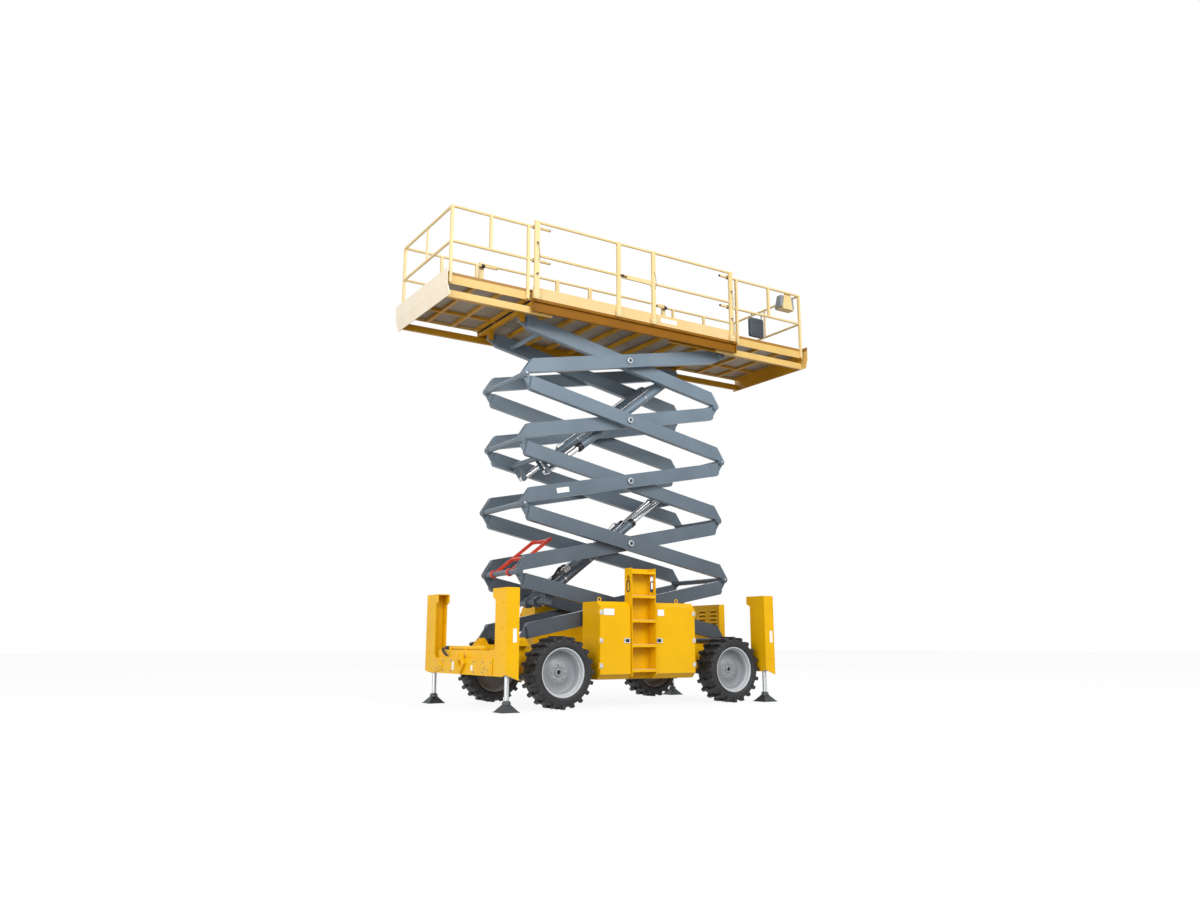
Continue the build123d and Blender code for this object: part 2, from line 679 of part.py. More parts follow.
def make_arms(label, level, y_mid, rising):
    plane = arm_plane(level, rising)
    is_outer = y_mid > inner_arm_y
    left_v = -rising * corner_offset
    right_v = rising * corner_offset
    if level == levels and is_outer:
        right_v = 0
    if level == levels and not is_outer:
        left_v = 0
    reach = arm_span / 2
    low_end = -rising
    pivots = {-1: left_v, 1: right_v}
    outline = end_outline(1, right_v) + list(reversed(end_outline(-1, left_v)))
    has_low_fork = level > 1
    tongue_ends = []
    if not (level == 1 and not is_outer):
        if not has_low_fork:
            tongue_ends.append(low_end)
    if not (level == levels and is_outer):
        tongue_ends.append(-low_end)
    with BuildPart() as arms:
        for side in sides:
            y = side * y_mid
            circles = [(end * reach, pivots[end], boss_radius) for end in sides]
            arm_slab(plane, y, arm_width / 2, outline, circles)
            for end in tongue_ends:
                cut = end_window(end)
                cheek = (arm_width / 2 - tongue_half) / 2 + 5
                for face in sides:
                    arm_slab(plane, y + face * (tongue_half + cheek), cheek, cut, [], Mode.SUBTRACT)
            if has_low_fork:
                end = low_end
                arm_slab(plane, y, cheek_gap, end_window(end), [], Mode.SUBTRACT)
                arm_slab(plane, y, arm_width / 2 + 6, None, [(end * reach, pivots[end], pin_radius)])
            for end in tongue_ends:
                hole = [(end * reach, pivots[end], pin_radius + pin_clearance)]
                arm_slab(plane, y, arm_width, None, hole, Mode.SUBTRACT)
            if is_outer:
                # centre pin with its boss, through to the inner arm
                inner_face = inner_arm_y - arm_width / 2 - 6
                outer_face = outer_arm_y + arm_width / 2 + 14
                mid = side * (inner_face + outer_face) / 2
                arm_slab(plane, mid, (outer_face - inner_face) / 2, None, [(0, 0, pin_radius)])
                arm_slab(plane, side * (outer_face - 7), 7, None, [(0, 0, 50)])
            else:
                hole = [(0, 0, pin_radius + pin_clearance)]
                arm_slab(plane, y, arm_width, None, hole, Mode.SUBTRACT)
        inner_face = y_mid - arm_width / 2
        tubes = []
        if has_low_fork:
            tubes.append((low_end * reach, pivots[low_end], cross_tube_radius))
        if level == 1 and not is_outer:
            tubes.append((reach, right_v, cross_tube_radius))
            # the lower cylinders' foot tube hangs below the arms on a pair of brackets
            arm_slab(plane, 0, inner_face - 8, None, [(low_u, low_v, foot_tube_radius)])
            bracket = [(low_u - 90, -20), (low_u - 50, low_v - 40), (low_u + 50, low_v - 40), (low_u + 90, -20)]
            pad = [(low_u - 80, -80), (low_u + 80, -80), (low_u + 80, -25), (low_u - 80, -25)]
            for side in sides:
                arm_slab(plane, side * (inner_face - 14), 8, bracket, [])
                arm_slab(plane, side * (inner_face - 10), 12, pad, [])
        if level == 1 and is_outer:
            arm_slab(plane, 0, inner_arm_y, None, [(0, 0, pin_radius)])
        if level == 3 and not is_outer:
            tubes.append((high_u + 160, high_v - 30, eye_tube_radius))
            tubes.append((low_u - 170, low_v + 150, eye_tube_radius))
            eye_lugs(plane, lower_cylinder_y, high_u, high_v, high_u + 160, high_v - 30)
            eye_lugs(plane, upper_cylinder_y, low_u, low_v, low_u - 170, low_v + 150)
        if level == 5 and not is_outer:
            tubes.append((high_u, high_v, foot_tube_radius))
        for u, v, radius in tubes:
            arm_slab(plane, 0, inner_face + 4, None, [(u, v, radius)])
        if level == levels and is_outer:
            # rollers that run in the platform's tracks
            for side in sides:
                arm_slab(plane, side * (outer_arm_y + arm_width / 2 + 24), 26, None, [(reach, 0, 50)])
    save(arms, label)


for level_number in range(1, levels + 1):
    outer_rising = 1 if level_number % 2 else -1
    make_arms(f"scissor_outer_{level_number}", level_number, outer_arm_y, outer_rising)
    make_arms(f"scissor_inner_{level_number}", level_number, inner_arm_y, -outer_rising)

# ---- lift cylinders --------------------------------------------------------------------------


def make_cylinders(name, level, y_mid, foot_is_low):
    low = arm_plane(level, -1).from_local_coords(Vector(low_u, low_v, 0))
    high = arm_plane(level + 2, -1).from_local_coords(Vector(high_u, high_v, 0))
    foot, eye = (low, high) if foot_is_low else (high, low)
    direction = (eye - foot).normalized()
    pin_length = (eye - foot).length
    ring = foot_tube_radius + 30
    with BuildPart() as barrels:
        for side in sides:
            y = Vector(0, side * y_mid, 0)
            ring_plane = Plane(foot + y + Vector(0, 40, 0), x_dir=direction, z_dir=(0, -1, 0))
            with BuildSketch(ring_plane):
                Circle(ring)
            extrude(amount=80)
            with BuildSketch(Plane(foot + y + direction * (foot_tube_radius + 10), z_dir=direction)):
                Circle(barrel_radius)
            extrude(amount=barrel_length - foot_tube_radius - 10)
            with BuildSketch(Plane(foot + y + direction * (ring + 20), z_dir=direction)):
                Circle(lift_rod_radius + 1)
            extrude(amount=barrel_length, mode=Mode.SUBTRACT)
            with BuildSketch(ring_plane.offset(-40)):
                Circle(foot_tube_radius + pin_clearance)
            extrude(amount=160, mode=Mode.SUBTRACT)
    save(barrels, f"{name}_cylinder_barrels")
    with BuildPart() as rods:
        for side in sides:
            y = Vector(0, side * y_mid, 0)
            eye_plane = Plane(eye + y + Vector(0, eye_width / 2, 0), x_dir=direction, z_dir=(0, -1, 0))
            with BuildSketch(Plane(eye + y - direction * lift_rod_length, z_dir=direction)):
                Circle(lift_rod_radius)
            extrude(amount=lift_rod_length - eye_radius / 2)
            with BuildSketch(eye_plane):
                Circle(eye_radius)
            extrude(amount=eye_width)
            with BuildSketch(eye_plane):
                Circle(eye_radius - 20)
            extrude(amount=eye_width, mode=Mode.SUBTRACT)
    save(rods, f"{name}_cylinder_rods")
    print(name, "foot", tuple(round(c, 3) for c in foot), "eye", tuple(round(c, 3) for c in eye),
          "direction", tuple(round(c, 6) for c in direction), "length", round(pin_length, 3))


make_cylinders("lower", 1, lower_cylinder_y, True)
make_cylinders("upper", 3, upper_cylinder_y, False)

# ---- safety prop -----------------------------------------------------------------------------

prop_lean = 38
prop_length = 840
prop_y = 240
prop_width = 30
prop_depth = 44
prop_bar = 36
prop_bore = cross_tube_radius + pin_clearance
prop_plane = Plane((scissor_pivot_x, 0, scissor_pivot_z + level_rise), z_dir=(0, -1, 0),
                   x_dir=(math.cos(math.radians(prop_lean)), 0, math.sin(math.radians(prop_lean))))
with BuildPart() as prop:
    bar = [
        (cross_tube_radius, -prop_depth / 2), (prop_length - 30, -prop_depth / 2),
        (prop_length, 0), (prop_length - 30, prop_depth / 2), (cross_tube_radius, prop_depth / 2),
    ]
    for side in sides:
        arm_slab(prop_plane, side * prop_y, prop_width / 2, bar, [(0, 0, prop_bore + 16)])
        arm_slab(prop_plane, side * prop_y, prop_width, None, [(0, 0, prop_bore)], Mode.SUBTRACT)
    for u in (prop_length * 0.4, prop_length - 90):
        rung = [(u, -prop_bar / 2), (u + prop_bar, -prop_bar / 2), (u + prop_bar, prop_bar / 2), (u, prop_bar / 2)]
        arm_slab(prop_plane, 0, prop_y, rung, [])
save(prop, "safety_prop")

# ---- platform --------------------------------------------------------------------------------

with BuildPart() as deck_frame:
    for side in sides:
        web = channel_web_y
        lip = rail_y - 20
        section = [
            (side * (web - 4), channel_bottom_z), (side * lip, channel_bottom_z),
            (side * lip, channel_bottom_z + 8), (side * (web + 4), channel_bottom_z + 8),
            (side * (web + 4), floor_top_z - 8), (side * (toe_y + 4), floor_top_z - 8),
            (side * (toe_y + 4), floor_top_z + toe_height), (side * (toe_y - 4), floor_top_z + toe_height),
            (side * (toe_y - 4), floor_top_z), (side * (web - 4), floor_top_z),
        ]
        long_profile(section, (deck_rear_x, deck_front_x))
        # the track for the upper rollers, hung from the crossbars by a thin web
        track_low = platform_pivot_z + 50 + track_gap
        track = [
            (side * 646, track_low), (side * 706, track_low), (side * 706, track_low + 10),
            (side * 682, track_low + 10), (side * 682, crossbar_bottom_z + 12), (side * 670, crossbar_bottom_z + 12),
            (side * 670, track_low + 10), (side * 646, track_low + 10),
        ]
        long_profile(track, (560, 1720))
        # lugs for the rear pivot
        for y_low, y_high in ((inner_arm_y - arm_width / 2 + side_play, inner_arm_y - cheek_gap),
                              (inner_arm_y + cheek_gap, inner_arm_y + arm_width / 2 - side_play)):
            lug = [
                (platform_pivot_x - 38, platform_pivot_z - 34), (platform_pivot_x + 38, platform_pivot_z - 34),
                (platform_pivot_x + 38, crossbar_bottom_z + 10), (platform_pivot_x - 38, crossbar_bottom_z + 10),
            ]
            side_profile(lug, (side * y_low, side * y_high))
        across(platform_pivot_x, platform_pivot_z, (side * (inner_arm_y - arm_width / 2 - 4),
                                                    side * (inner_arm_y + arm_width / 2 + 4)), pin_radius)
    crossbars = 10
    first_x = platform_pivot_x
    last_x = deck_front_x - 40
    for number in range(crossbars):
        x = first_x + (last_x - first_x) * number / (crossbars - 1)
        span((x - 28, x + 28), (-channel_web_y + 3, channel_web_y - 3), (crossbar_bottom_z, floor_bottom_z))
save(deck_frame, "deck_frame")

with BuildPart() as deck_floor:
    span((deck_rear_x + 5, deck_front_x - 5), (-channel_web_y + 6, channel_web_y - 6), (floor_bottom_z, floor_top_z))
save(deck_floor, "deck_floor")

rail_radius = rail_tube / 2
rail_axis_z = rail_top_z - rail_radius


def tube_x(x_range, y, z, radius=rail_radius):
    x_low, x_high = sorted(x_range)
    with Locations(Plane(((x_low + x_high) / 2, y, z), z_dir=(1, 0, 0))):
        Cylinder(radius, x_high - x_low)


def tube_y(y_range, x, z, radius=rail_radius):
    across(x, z, y_range, radius)


post_table = (
    # x, width along X
    (deck_rear_x + 45, 76),
    (gate_rear_x, 62),
    (gate_front_x, 62),
    (deck_front_x - 110, 70),
)
gate_gap = 6
gate_z = rail_axis_z - mid_rail_drop
gate_hinge_x = gate_front_x - 31 - 18
gate_barrel = 90
gate_pin_radius = 7

with BuildPart() as guardrails:
    # the gate's hinge ears and pin
    for low_z in (gate_z - gate_barrel / 2 - press_gap - 8, gate_z + gate_barrel / 2 + press_gap):
        span((gate_hinge_x - 12, gate_front_x), (-rail_y - 12, -rail_y + 12), (low_z, low_z + 8))
    with Locations((gate_hinge_x, -rail_y, gate_z)):
        Cylinder(gate_pin_radius, gate_barrel + 12)
    for side in sides:
        tube_x((post_table[0][0], post_table[-1][0]), side * rail_y, rail_axis_z)
        mid_z = rail_axis_z - mid_rail_drop
        if side > 0:
            tube_x((post_table[0][0], post_table[-1][0]), side * rail_y, mid_z)
        else:
            tube_x((post_table[0][0], gate_rear_x), side * rail_y, mid_z)
            tube_x((gate_front_x, post_table[-1][0]), side * rail_y, mid_z)
        for x, width in post_table:
            span((x - width / 2, x + width / 2), (side * (rail_y - 20), side * (rail_y + 16)),
                 (floor_top_z + 20, rail_top_z))
save(guardrails, "guardrails")

with BuildPart() as gate_bar:
    span((gate_rear_x + 31 + gate_gap, gate_hinge_x), (-rail_y - 13, -rail_y + 13), (gate_z - 30, gate_z + 30))
    with Locations((gate_hinge_x, -rail_y, gate_z)):
        Cylinder(13, gate_barrel)
        Cylinder(gate_pin_radius + pin_clearance, gate_barrel, mode=Mode.SUBTRACT)
save(gate_bar, "gate_bar")


def make_extension(name, outward, end_x, deck_end_x):
    inner_x = deck_end_x - outward * extension_overlap
    post_x = deck_end_x + outward * 60
    plate_x = end_x + outward * 45
    with BuildPart() as frame:
        for side in sides:
            toe = [
                (side * (extension_toe_y + 4), tray_bottom_z), (side * (extension_toe_y + 4), tray_floor_z + 120),
                (side * (extension_toe_y - 18), tray_floor_z + 120), (side * (extension_toe_y - 18), tray_floor_z + 112),
                (side * (extension_toe_y - 4), tray_floor_z + 112), (side * (extension_toe_y - 4), tray_bottom_z),
            ]
            long_profile(toe, (inner_x, end_x))
            beam = [
                (side * (beam_y - 22), beam_bottom_z), (side * (beam_y + 22), beam_bottom_z),
                (side * (beam_y + 22), beam_top_z), (side * (beam_y - 22), beam_top_z),
            ]
            long_profile(beam, (inner_x, end_x))
        ribs = 4
        for number in range(ribs + 1):
            x = inner_x + (end_x - inner_x) * number / ribs
            x = min(max(x, min(inner_x, end_x) + 25), max(inner_x, end_x) - 25)
            span((x - 25, x + 25), (-extension_toe_y + 4, extension_toe_y - 4), (tray_bottom_z, tray_floor_z))
        for y in (-300, 300):
            span((inner_x, end_x), (y - 20, y + 20), (tray_bottom_z, tray_floor_z))
        # slide pads that run on the main deck
        for y in (-700, 700):
            span((inner_x, inner_x + outward * 80), (y - 50, y + 50), (floor_top_z + press_gap, tray_bottom_z))
        # folded end plate: upright above, leaning in below
        side_profile(
            [(end_x, beam_bottom_z - 4), (end_x + outward * 8, beam_bottom_z - 4),
             (plate_x + outward * 8, beam_top_z + 60), (plate_x + outward * 8, tray_floor_z + 140),
             (plate_x, tray_floor_z + 140), (plate_x, beam_top_z + 62), (end_x, beam_bottom_z + 14)],
            (-end_plate_y, end_plate_y))
        span((end_x, plate_x), (-extension_toe_y, extension_toe_y), (tray_bottom_z, tray_floor_z))
    save(frame, f"{name}_deck_frame")
    with BuildPart() as floor:
        span((inner_x, end_x), (-extension_toe_y + 5, extension_toe_y - 5), (tray_floor_z, tray_floor_z + 8))
    save(floor, f"{name}_deck_floor")
    rail_z = extension_rail_top_z - rail_radius
    mid_z = rail_z - mid_rail_drop
    end_post_x = end_x - outward * 24
    with BuildPart() as rails:
        for side in sides:
            tube_x((post_x, end_post_x), side * extension_rail_y, rail_z)
            tube_x((post_x, end_post_x), side * extension_rail_y, mid_z)
            for x, low_z in ((post_x, tray_bottom_z + 8), (end_post_x, tray_bottom_z + 8),
                             ((post_x + end_post_x) / 2, mid_z)):
                span((x - rail_radius, x + rail_radius),
                     (side * (extension_rail_y - rail_radius), side * (extension_rail_y + rail_radius)),
                     (low_z, rail_z))
        for z in (rail_z, mid_z):
            tube_y((-extension_rail_y, extension_rail_y), end_post_x, z)
        span((end_post_x - 12, end_post_x + 12), (-12, 12), (mid_z, rail_z))
    save(rails, f"{name}_deck_rails")


make_extension("rear", -1, platform_rear_x, deck_rear_x)
make_extension("front", 1, platform_front_x, deck_front_x)


def rail_box(label, x_range, depth, z_range, rail_z):
    # a box hung on the inside of the front extension's right rail by two straps
    back_y = -extension_rail_y + rail_radius + press_gap
    with BuildPart() as piece:
        span(x_range, (back_y, back_y + depth), z_range)
        for x in (x_range[0] + 40, x_range[1] - 40):
            span((x - 15, x + 15), (back_y, back_y + 6), (z_range[1], rail_z + 8))
    save(piece, label)


extension_rail_z = extension_rail_top_z - rail_radius
rail_box_table = (
    # label, rear and front edge behind the extension's end, depth, drop below its rail, height, rail
    ("control_box", 422, 92, 170, 30, 240, extension_rail_z),
    ("manual_box", 1112, 822, 50, 70, 315, extension_rail_z - mid_rail_drop),
)
for label, rear, front, depth, drop, height, rail_z in rail_box_table:
    rail_box(label, (platform_front_x - rear, platform_front_x - front), depth,
             (rail_z - drop - height, rail_z - drop), rail_z)

print("platform pivot", platform_pivot_x, platform_pivot_z, "roller", platform_roller_x)
print("scissor mid x", scissor_mid_x, "level rise", level_rise, "arm tilt", arm_tilt, "span", arm_span)
print("rail top", rail_top_z, "floor top", floor_top_z)
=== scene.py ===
import json
import math

import bpy
from mathutils import Matrix, Vector


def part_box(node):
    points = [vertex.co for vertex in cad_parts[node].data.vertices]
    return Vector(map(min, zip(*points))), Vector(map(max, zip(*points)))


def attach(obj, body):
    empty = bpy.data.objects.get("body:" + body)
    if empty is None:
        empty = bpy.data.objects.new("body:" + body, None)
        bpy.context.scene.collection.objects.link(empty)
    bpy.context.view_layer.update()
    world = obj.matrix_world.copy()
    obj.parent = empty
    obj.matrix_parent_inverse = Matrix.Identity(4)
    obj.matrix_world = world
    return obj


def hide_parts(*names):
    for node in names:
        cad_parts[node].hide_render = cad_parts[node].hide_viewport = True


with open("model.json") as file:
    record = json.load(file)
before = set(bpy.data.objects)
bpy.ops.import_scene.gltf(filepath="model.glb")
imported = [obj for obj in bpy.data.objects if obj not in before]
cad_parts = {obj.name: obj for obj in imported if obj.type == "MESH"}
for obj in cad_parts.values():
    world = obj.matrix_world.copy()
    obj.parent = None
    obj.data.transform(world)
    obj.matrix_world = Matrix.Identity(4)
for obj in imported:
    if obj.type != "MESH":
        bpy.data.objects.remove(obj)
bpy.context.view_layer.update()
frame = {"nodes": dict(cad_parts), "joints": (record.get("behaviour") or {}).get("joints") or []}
nodes = frame["nodes"]


def deselectAll():
    if bpy.context.object and bpy.context.object.mode != "OBJECT":
        bpy.ops.object.mode_set(mode="OBJECT")
    bpy.ops.object.select_all(action="DESELECT")


deselectAll()
origin = (0, 0, 0)
ahead, astern = (1, 0, 0), (-1, 0, 0)
toLeft, toRight = (0, 1, 0), (0, -1, 0)
up, down = (0, 0, 1), (0, 0, -1)

# camera, floor and light

view = {
    "place": (-7.9586, -11.9985, 0.8447),
    "aim": (0.5288, 0.8254, 0.1977),
    "lens": 28.65,
}
cameraData = bpy.data.cameras.new("camera")
cameraData.lens = view["lens"]
cameraData.sensor_width = 36
cameraData.clip_end = 500
camera = bpy.data.objects.new("camera", cameraData)
camera.location = view["place"]
camera.rotation_euler = Vector(view["aim"]).to_track_quat("-Z", "Y").to_euler()
bpy.context.scene.collection.objects.link(camera)
bpy.context.scene.camera = camera
bpy.context.scene.view_settings.view_transform = "Standard"


def addNode(tree, kind, settings=None, values=None, output=0):
    # any node: its type, its settings, then the values or links of its sockets
    made = tree.nodes.new(kind)
    for key, value in (settings or {}).items():
        setattr(made, key, value)
    for key, value in (values or {}).items():
        if isinstance(value, Tap):
            tree.links.new(value.socket, made.inputs[key])
        else:
            made.inputs[key].default_value = value
    return Tap(tree, made.outputs[output])


def mathStep(operation, swapped=False):
    # an operator that adds one Math node, with its two sides swapped for the reflected form
    if swapped:
        return lambda tap, other: tap.combine(operation, other, tap)
    return lambda tap, other: tap.combine(operation, tap, other)


class Tap:
    # one shader socket, so that finishes can be written as sums
    def __init__(self, tree, socket):
        self.tree = tree
        self.socket = socket

    def combine(self, operation, first, second):
        return addNode(self.tree, "ShaderNodeMath", {"operation": operation}, {0: first, 1: second})

    __add__ = mathStep("ADD")
    __radd__ = mathStep("ADD", True)
    __sub__ = mathStep("SUBTRACT")
    __rsub__ = mathStep("SUBTRACT", True)
    __mul__ = mathStep("MULTIPLY")
    __rmul__ = mathStep("MULTIPLY", True)
    __truediv__ = mathStep("DIVIDE")
    __pow__ = mathStep("POWER")

    def clipped(self):
        return self.combine("MINIMUM", self.combine("MAXIMUM", self, 0.0), 1.0)


class Finish:
    # a node material with one Principled shader
    def __init__(self, name, roughness=0.5, metallic=0.0, coat=0.0):
        self.material = bpy.data.materials.new(name)
        self.material.use_nodes = True
        self.tree = self.material.node_tree
        self.shader = self.tree.nodes["Principled BSDF"]
        self.shader.inputs["Roughness"].default_value = roughness
        self.shader.inputs["Metallic"].default_value = metallic
        self.shader.inputs["Coat Weight"].default_value = coat
        self.shader.inputs["Coat Roughness"].default_value = 0.18
        self.place = self.node("ShaderNodeTexCoord", output="Object")

    def node(self, kind, settings=None, values=None, output=0):
        return addNode(self.tree, kind, settings, values, output)

    def noise(self, scale, detail=3.0, stretch=None):
        place = self.place
        if stretch:
            place = self.node("ShaderNodeMapping", values={"Vector": place, "Scale": stretch},
                              output="Vector")
        return self.node("ShaderNodeTexNoise", values={"Vector": place, "Scale": scale, "Detail": detail})

    def mix(self, amount, first, second):
        return self.node("ShaderNodeMix", {"data_type": "RGBA"}, {0: amount, 6: first, 7: second}, output=2)

    def along(self, axis):
        return self.node("ShaderNodeSeparateXYZ", values={"Vector": self.place}, output="XYZ".index(axis))

    def set(self, **wanted):
        for key, value in wanted.items():
            name = {"colour": "Base Color", "roughness": "Roughness", "normal": "Normal"}[key]
            if isinstance(value, Tap):
                self.tree.links.new(value.socket, self.shader.inputs[name])
            else:
                self.shader.inputs[name].default_value = value

    def bump(self, height, strength, distance):
        wanted = {"Height": height, "Strength": strength, "Distance": distance}
        return self.node("ShaderNodeBump", values=wanted, output="Normal")


def rgba(colour):
    return (*colour, 1.0)


def paintFinish(name, look):
    # sprayed paint: slight cloudiness, orange peel, dust that settles low down, and painted light and shade
    # in zones and ramps
    finish = Finish(name, coat=look.get("coat", 0.06))
    finish.shader.inputs["Specular IOR Level"].default_value = look.get("shine", 0.28)
    clouds = finish.noise(2.3, 4.0)
    grain = finish.noise(160.0, 2.0)
    cloudy = ((clouds - 0.35) * 1.2).clipped()
    colour = finish.mix(cloudy, rgba(look["deep"]), rgba(look["bright"]))
    for axis, edge, side, deep, bright in look.get("paintedLightZones", ()):
        # painted light and shade: a part of the piece past a line, painted in a lighter or darker copy of the
        # paint
        past = ((finish.along(axis) - edge) * side * 400.0).clipped()
        colour = finish.mix(past, colour, finish.mix(cloudy, rgba(deep), rgba(bright)))
    if "rise" in look:
        # painted light and shade that comes in gradually along an axis, lighter or darker as light falls
        axis, start, end, deep, bright = look["rise"]
        share = ((finish.along(axis) - start) / (end - start)).clipped()
        colour = finish.mix(share, colour, finish.mix(cloudy, rgba(deep), rgba(bright)))
    rain = finish.noise(9.0, 5.0, stretch=(1.0, 1.0, 0.12))
    streaks = ((rain - 0.62) * 3.0).clipped() * look.get("streak", 0.12)
    colour = finish.mix(streaks, colour, rgba(look["dirt"]))
    low = (1.0 - finish.along("Z") / look.get("dustTop", 0.9)).clipped()
    dust = (low ** 2.0) * (finish.noise(14.0, 6.0) * 1.5 - 0.35).clipped() * look.get("dust", 0.4)
    colour = finish.mix(dust, colour, rgba((0.30, 0.24, 0.17)))
    finish.set(colour=colour, roughness=(look["rough"] + (clouds - 0.5) * 0.18 + dust * 0.4).clipped(),
               normal=finish.bump(grain * 0.6 + clouds * 0.4, 0.10, 0.002))
    return finish.material


# painted light: the deck's top band painted pale cream as if washed out by light
paintedLitBand = ((0.70, 0.505, 0.23), (0.77, 0.59, 0.33))
# painted light: the rear end plate painted pale cream as if washed out by light
paintedLitEnd = ((0.80, 0.70, 0.54), (0.88, 0.80, 0.66))
# painted shade: the deck's yellow paint darkened to gold for faces in shade underneath
paintedShadeGold = ((0.50, 0.245, 0.012), (0.66, 0.35, 0.030))
# painted light: the slide rails' outer faces painted lighter as lit faces
paintedLitSide = ((0.64, 0.42, 0.12), (0.76, 0.53, 0.20))
# painted shade: the top strip of the extension webs painted dark brown as shaded
paintedShadeLip = ((0.30, 0.14, 0.010), (0.42, 0.205, 0.018))
# the extensions' painted light on their outer sides and painted shade on their top lip
slidePaintedLightZones = [("Y", 0.80, 1, *paintedLitSide), ("Y", -0.80, -1, *paintedLitSide), ("Z", 5.639, 1, *paintedShadeLip)]
# painted shade: the deck's lower flange painted dark brown as facing down in shade
paintedShadeFlange = ((0.22, 0.085, 0.002), (0.31, 0.130, 0.004))
wheelLine = sum(corner.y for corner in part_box("tyre_rear_right")) / 2
paints = {
    "machineYellow": {"deep": (0.76, 0.41, 0.0), "bright": (0.87, 0.50, 0.001), "dirt": (0.30, 0.16, 0.02),
                      "rough": 0.38, "shine": 0.18, "coat": 0.03, "dust": 0.22, "streak": 0.08},
    # painted light: the platform's yellow paint painted pale cream on rails and their fittings, as if washed
    # out by light
    "railPaintedLight": {"deep": (0.73, 0.55, 0.25), "bright": (0.84, 0.66, 0.35), "dirt": (0.50, 0.32, 0.12),
                  "rough": 0.42, "dust": 0.0},
    # deck frames: painted shade gold paint, with a painted shaded flange and painted lit band on the main
    # deck, painted lit sides, a painted shaded lip and a painted lit end plate on the extensions
    "deckPaint": {"deep": paintedShadeGold[0], "bright": paintedShadeGold[1], "dirt": (0.26, 0.14, 0.02), "rough": 0.5,
                  "dust": 0.0, "shine": 0.12, "coat": 0.0,
                  "paintedLightZones": [("Y", 0.858, 1, *paintedShadeFlange), ("Y", -0.858, -1, *paintedShadeFlange),
                            ("Z", 5.545, 1, *paintedLitBand)]},
    "rearDeckPaint": {"deep": paintedShadeGold[0], "bright": paintedShadeGold[1], "dirt": (0.26, 0.14, 0.02), "rough": 0.45,
                      "dust": 0.0, "paintedLightZones": slidePaintedLightZones + [("X", -3.20, -1, *paintedLitEnd)]},
    "frontDeckPaint": {"deep": paintedShadeGold[0], "bright": paintedShadeGold[1], "dirt": (0.26, 0.14, 0.02),
                       "rough": 0.42, "dust": 0.0, "paintedLightZones": slidePaintedLightZones},
    # painted light: arms painted darker low down and lighter higher up, as lit from above
    "armSlate": {"deep": (0.050, 0.066, 0.086), "bright": (0.078, 0.100, 0.126), "dirt": (0.035, 0.04, 0.045),
                 "rough": 0.38, "dust": 0.25, "shine": 0.4, "coat": 0.12,
                 "rise": ("Z", 1.2, 4.6, (0.135, 0.185, 0.235), (0.195, 0.255, 0.310))},
    "propRed": {"deep": (0.62, 0.045, 0.02), "bright": (0.78, 0.07, 0.03), "dirt": (0.2, 0.03, 0.02),
                "rough": 0.35},
    "gloss": {"deep": (0.012, 0.012, 0.013), "bright": (0.03, 0.03, 0.032), "dirt": (0.05, 0.045, 0.04),
              "rough": 0.4},
    # painted shade: rims painted darker towards the inside of the dish
    "wheelSilver": {"deep": (0.50, 0.53, 0.56), "bright": (0.66, 0.69, 0.72), "dirt": (0.25, 0.23, 0.2),
                    "rough": 0.34, "dust": 0.3, "dustTop": 1.1,
                    "rise": ("Y", wheelLine - 0.145, wheelLine - 0.02,
                             (0.24, 0.26, 0.28), (0.36, 0.38, 0.41))},
    "plateWhite": {"deep": (0.82, 0.82, 0.80), "bright": (0.90, 0.90, 0.89), "dirt": (0.5, 0.5, 0.46),
                   "rough": 0.4},
    "slatePlastic": {"deep": (0.035, 0.045, 0.055), "bright": (0.060, 0.075, 0.090),
                     "dirt": (0.10, 0.10, 0.10), "rough": 0.45, "dust": 0.0},
    "boxGrey": {"deep": (0.22, 0.24, 0.25), "bright": (0.34, 0.365, 0.375), "dirt": (0.08, 0.08, 0.08),
                "rough": 0.5, "dust": 0.0},
}
finishes = {name: paintFinish(name, look) for name, look in paints.items()}


def rubberFinish():
    finish = Finish("tyreRubber")
    clouds = finish.noise(7.0, 5.0)
    grain = finish.noise(220.0, 3.0)
    dusty = (clouds * 1.8 - 0.75).clipped() * 0.5
    colour = finish.mix(dusty, rgba((0.008, 0.008, 0.010)), rgba((0.038, 0.036, 0.035)))
    finish.set(colour=colour, roughness=(0.62 + dusty * 0.3).clipped(),
               normal=finish.bump(grain, 0.25, 0.003))
    return finish.material


def steelFinish(name, dark, pale, rough, spangle):
    finish = Finish(name, metallic=0.85)
    flakes = finish.node("ShaderNodeTexVoronoi", {"feature": "F1"},
                         {"Vector": finish.place, "Scale": spangle}, output="Color")
    shade = finish.node("ShaderNodeRGBToBW", values={"Color": flakes})
    wear = finish.noise(24.0, 5.0)
    finish.set(colour=finish.mix((shade * 0.6 + wear * 0.5 - 0.1).clipped(), rgba(dark), rgba(pale)),
               roughness=(rough + shade * 0.15).clipped(), normal=finish.bump(wear, 0.08, 0.001))
    return finish.material


def legFinish():
    # bright plated leg tube above a dark foot
    finish = Finish("legSteel", metallic=0.8)
    wear = finish.noise(24.0, 5.0)
    tube = finish.mix(wear, rgba((0.45, 0.47, 0.48)), rgba((0.66, 0.68, 0.69)))
    plate = finish.mix(wear, rgba((0.035, 0.042, 0.048)), rgba((0.095, 0.105, 0.115)))
    raised = ((finish.along("Z") - 0.10) * 300.0).clipped()
    finish.set(colour=finish.mix(raised, plate, tube),
               roughness=(0.46 - raised * 0.16 + wear * 0.1).clipped(), normal=finish.bump(wear, 0.1, 0.001))
    return finish.material


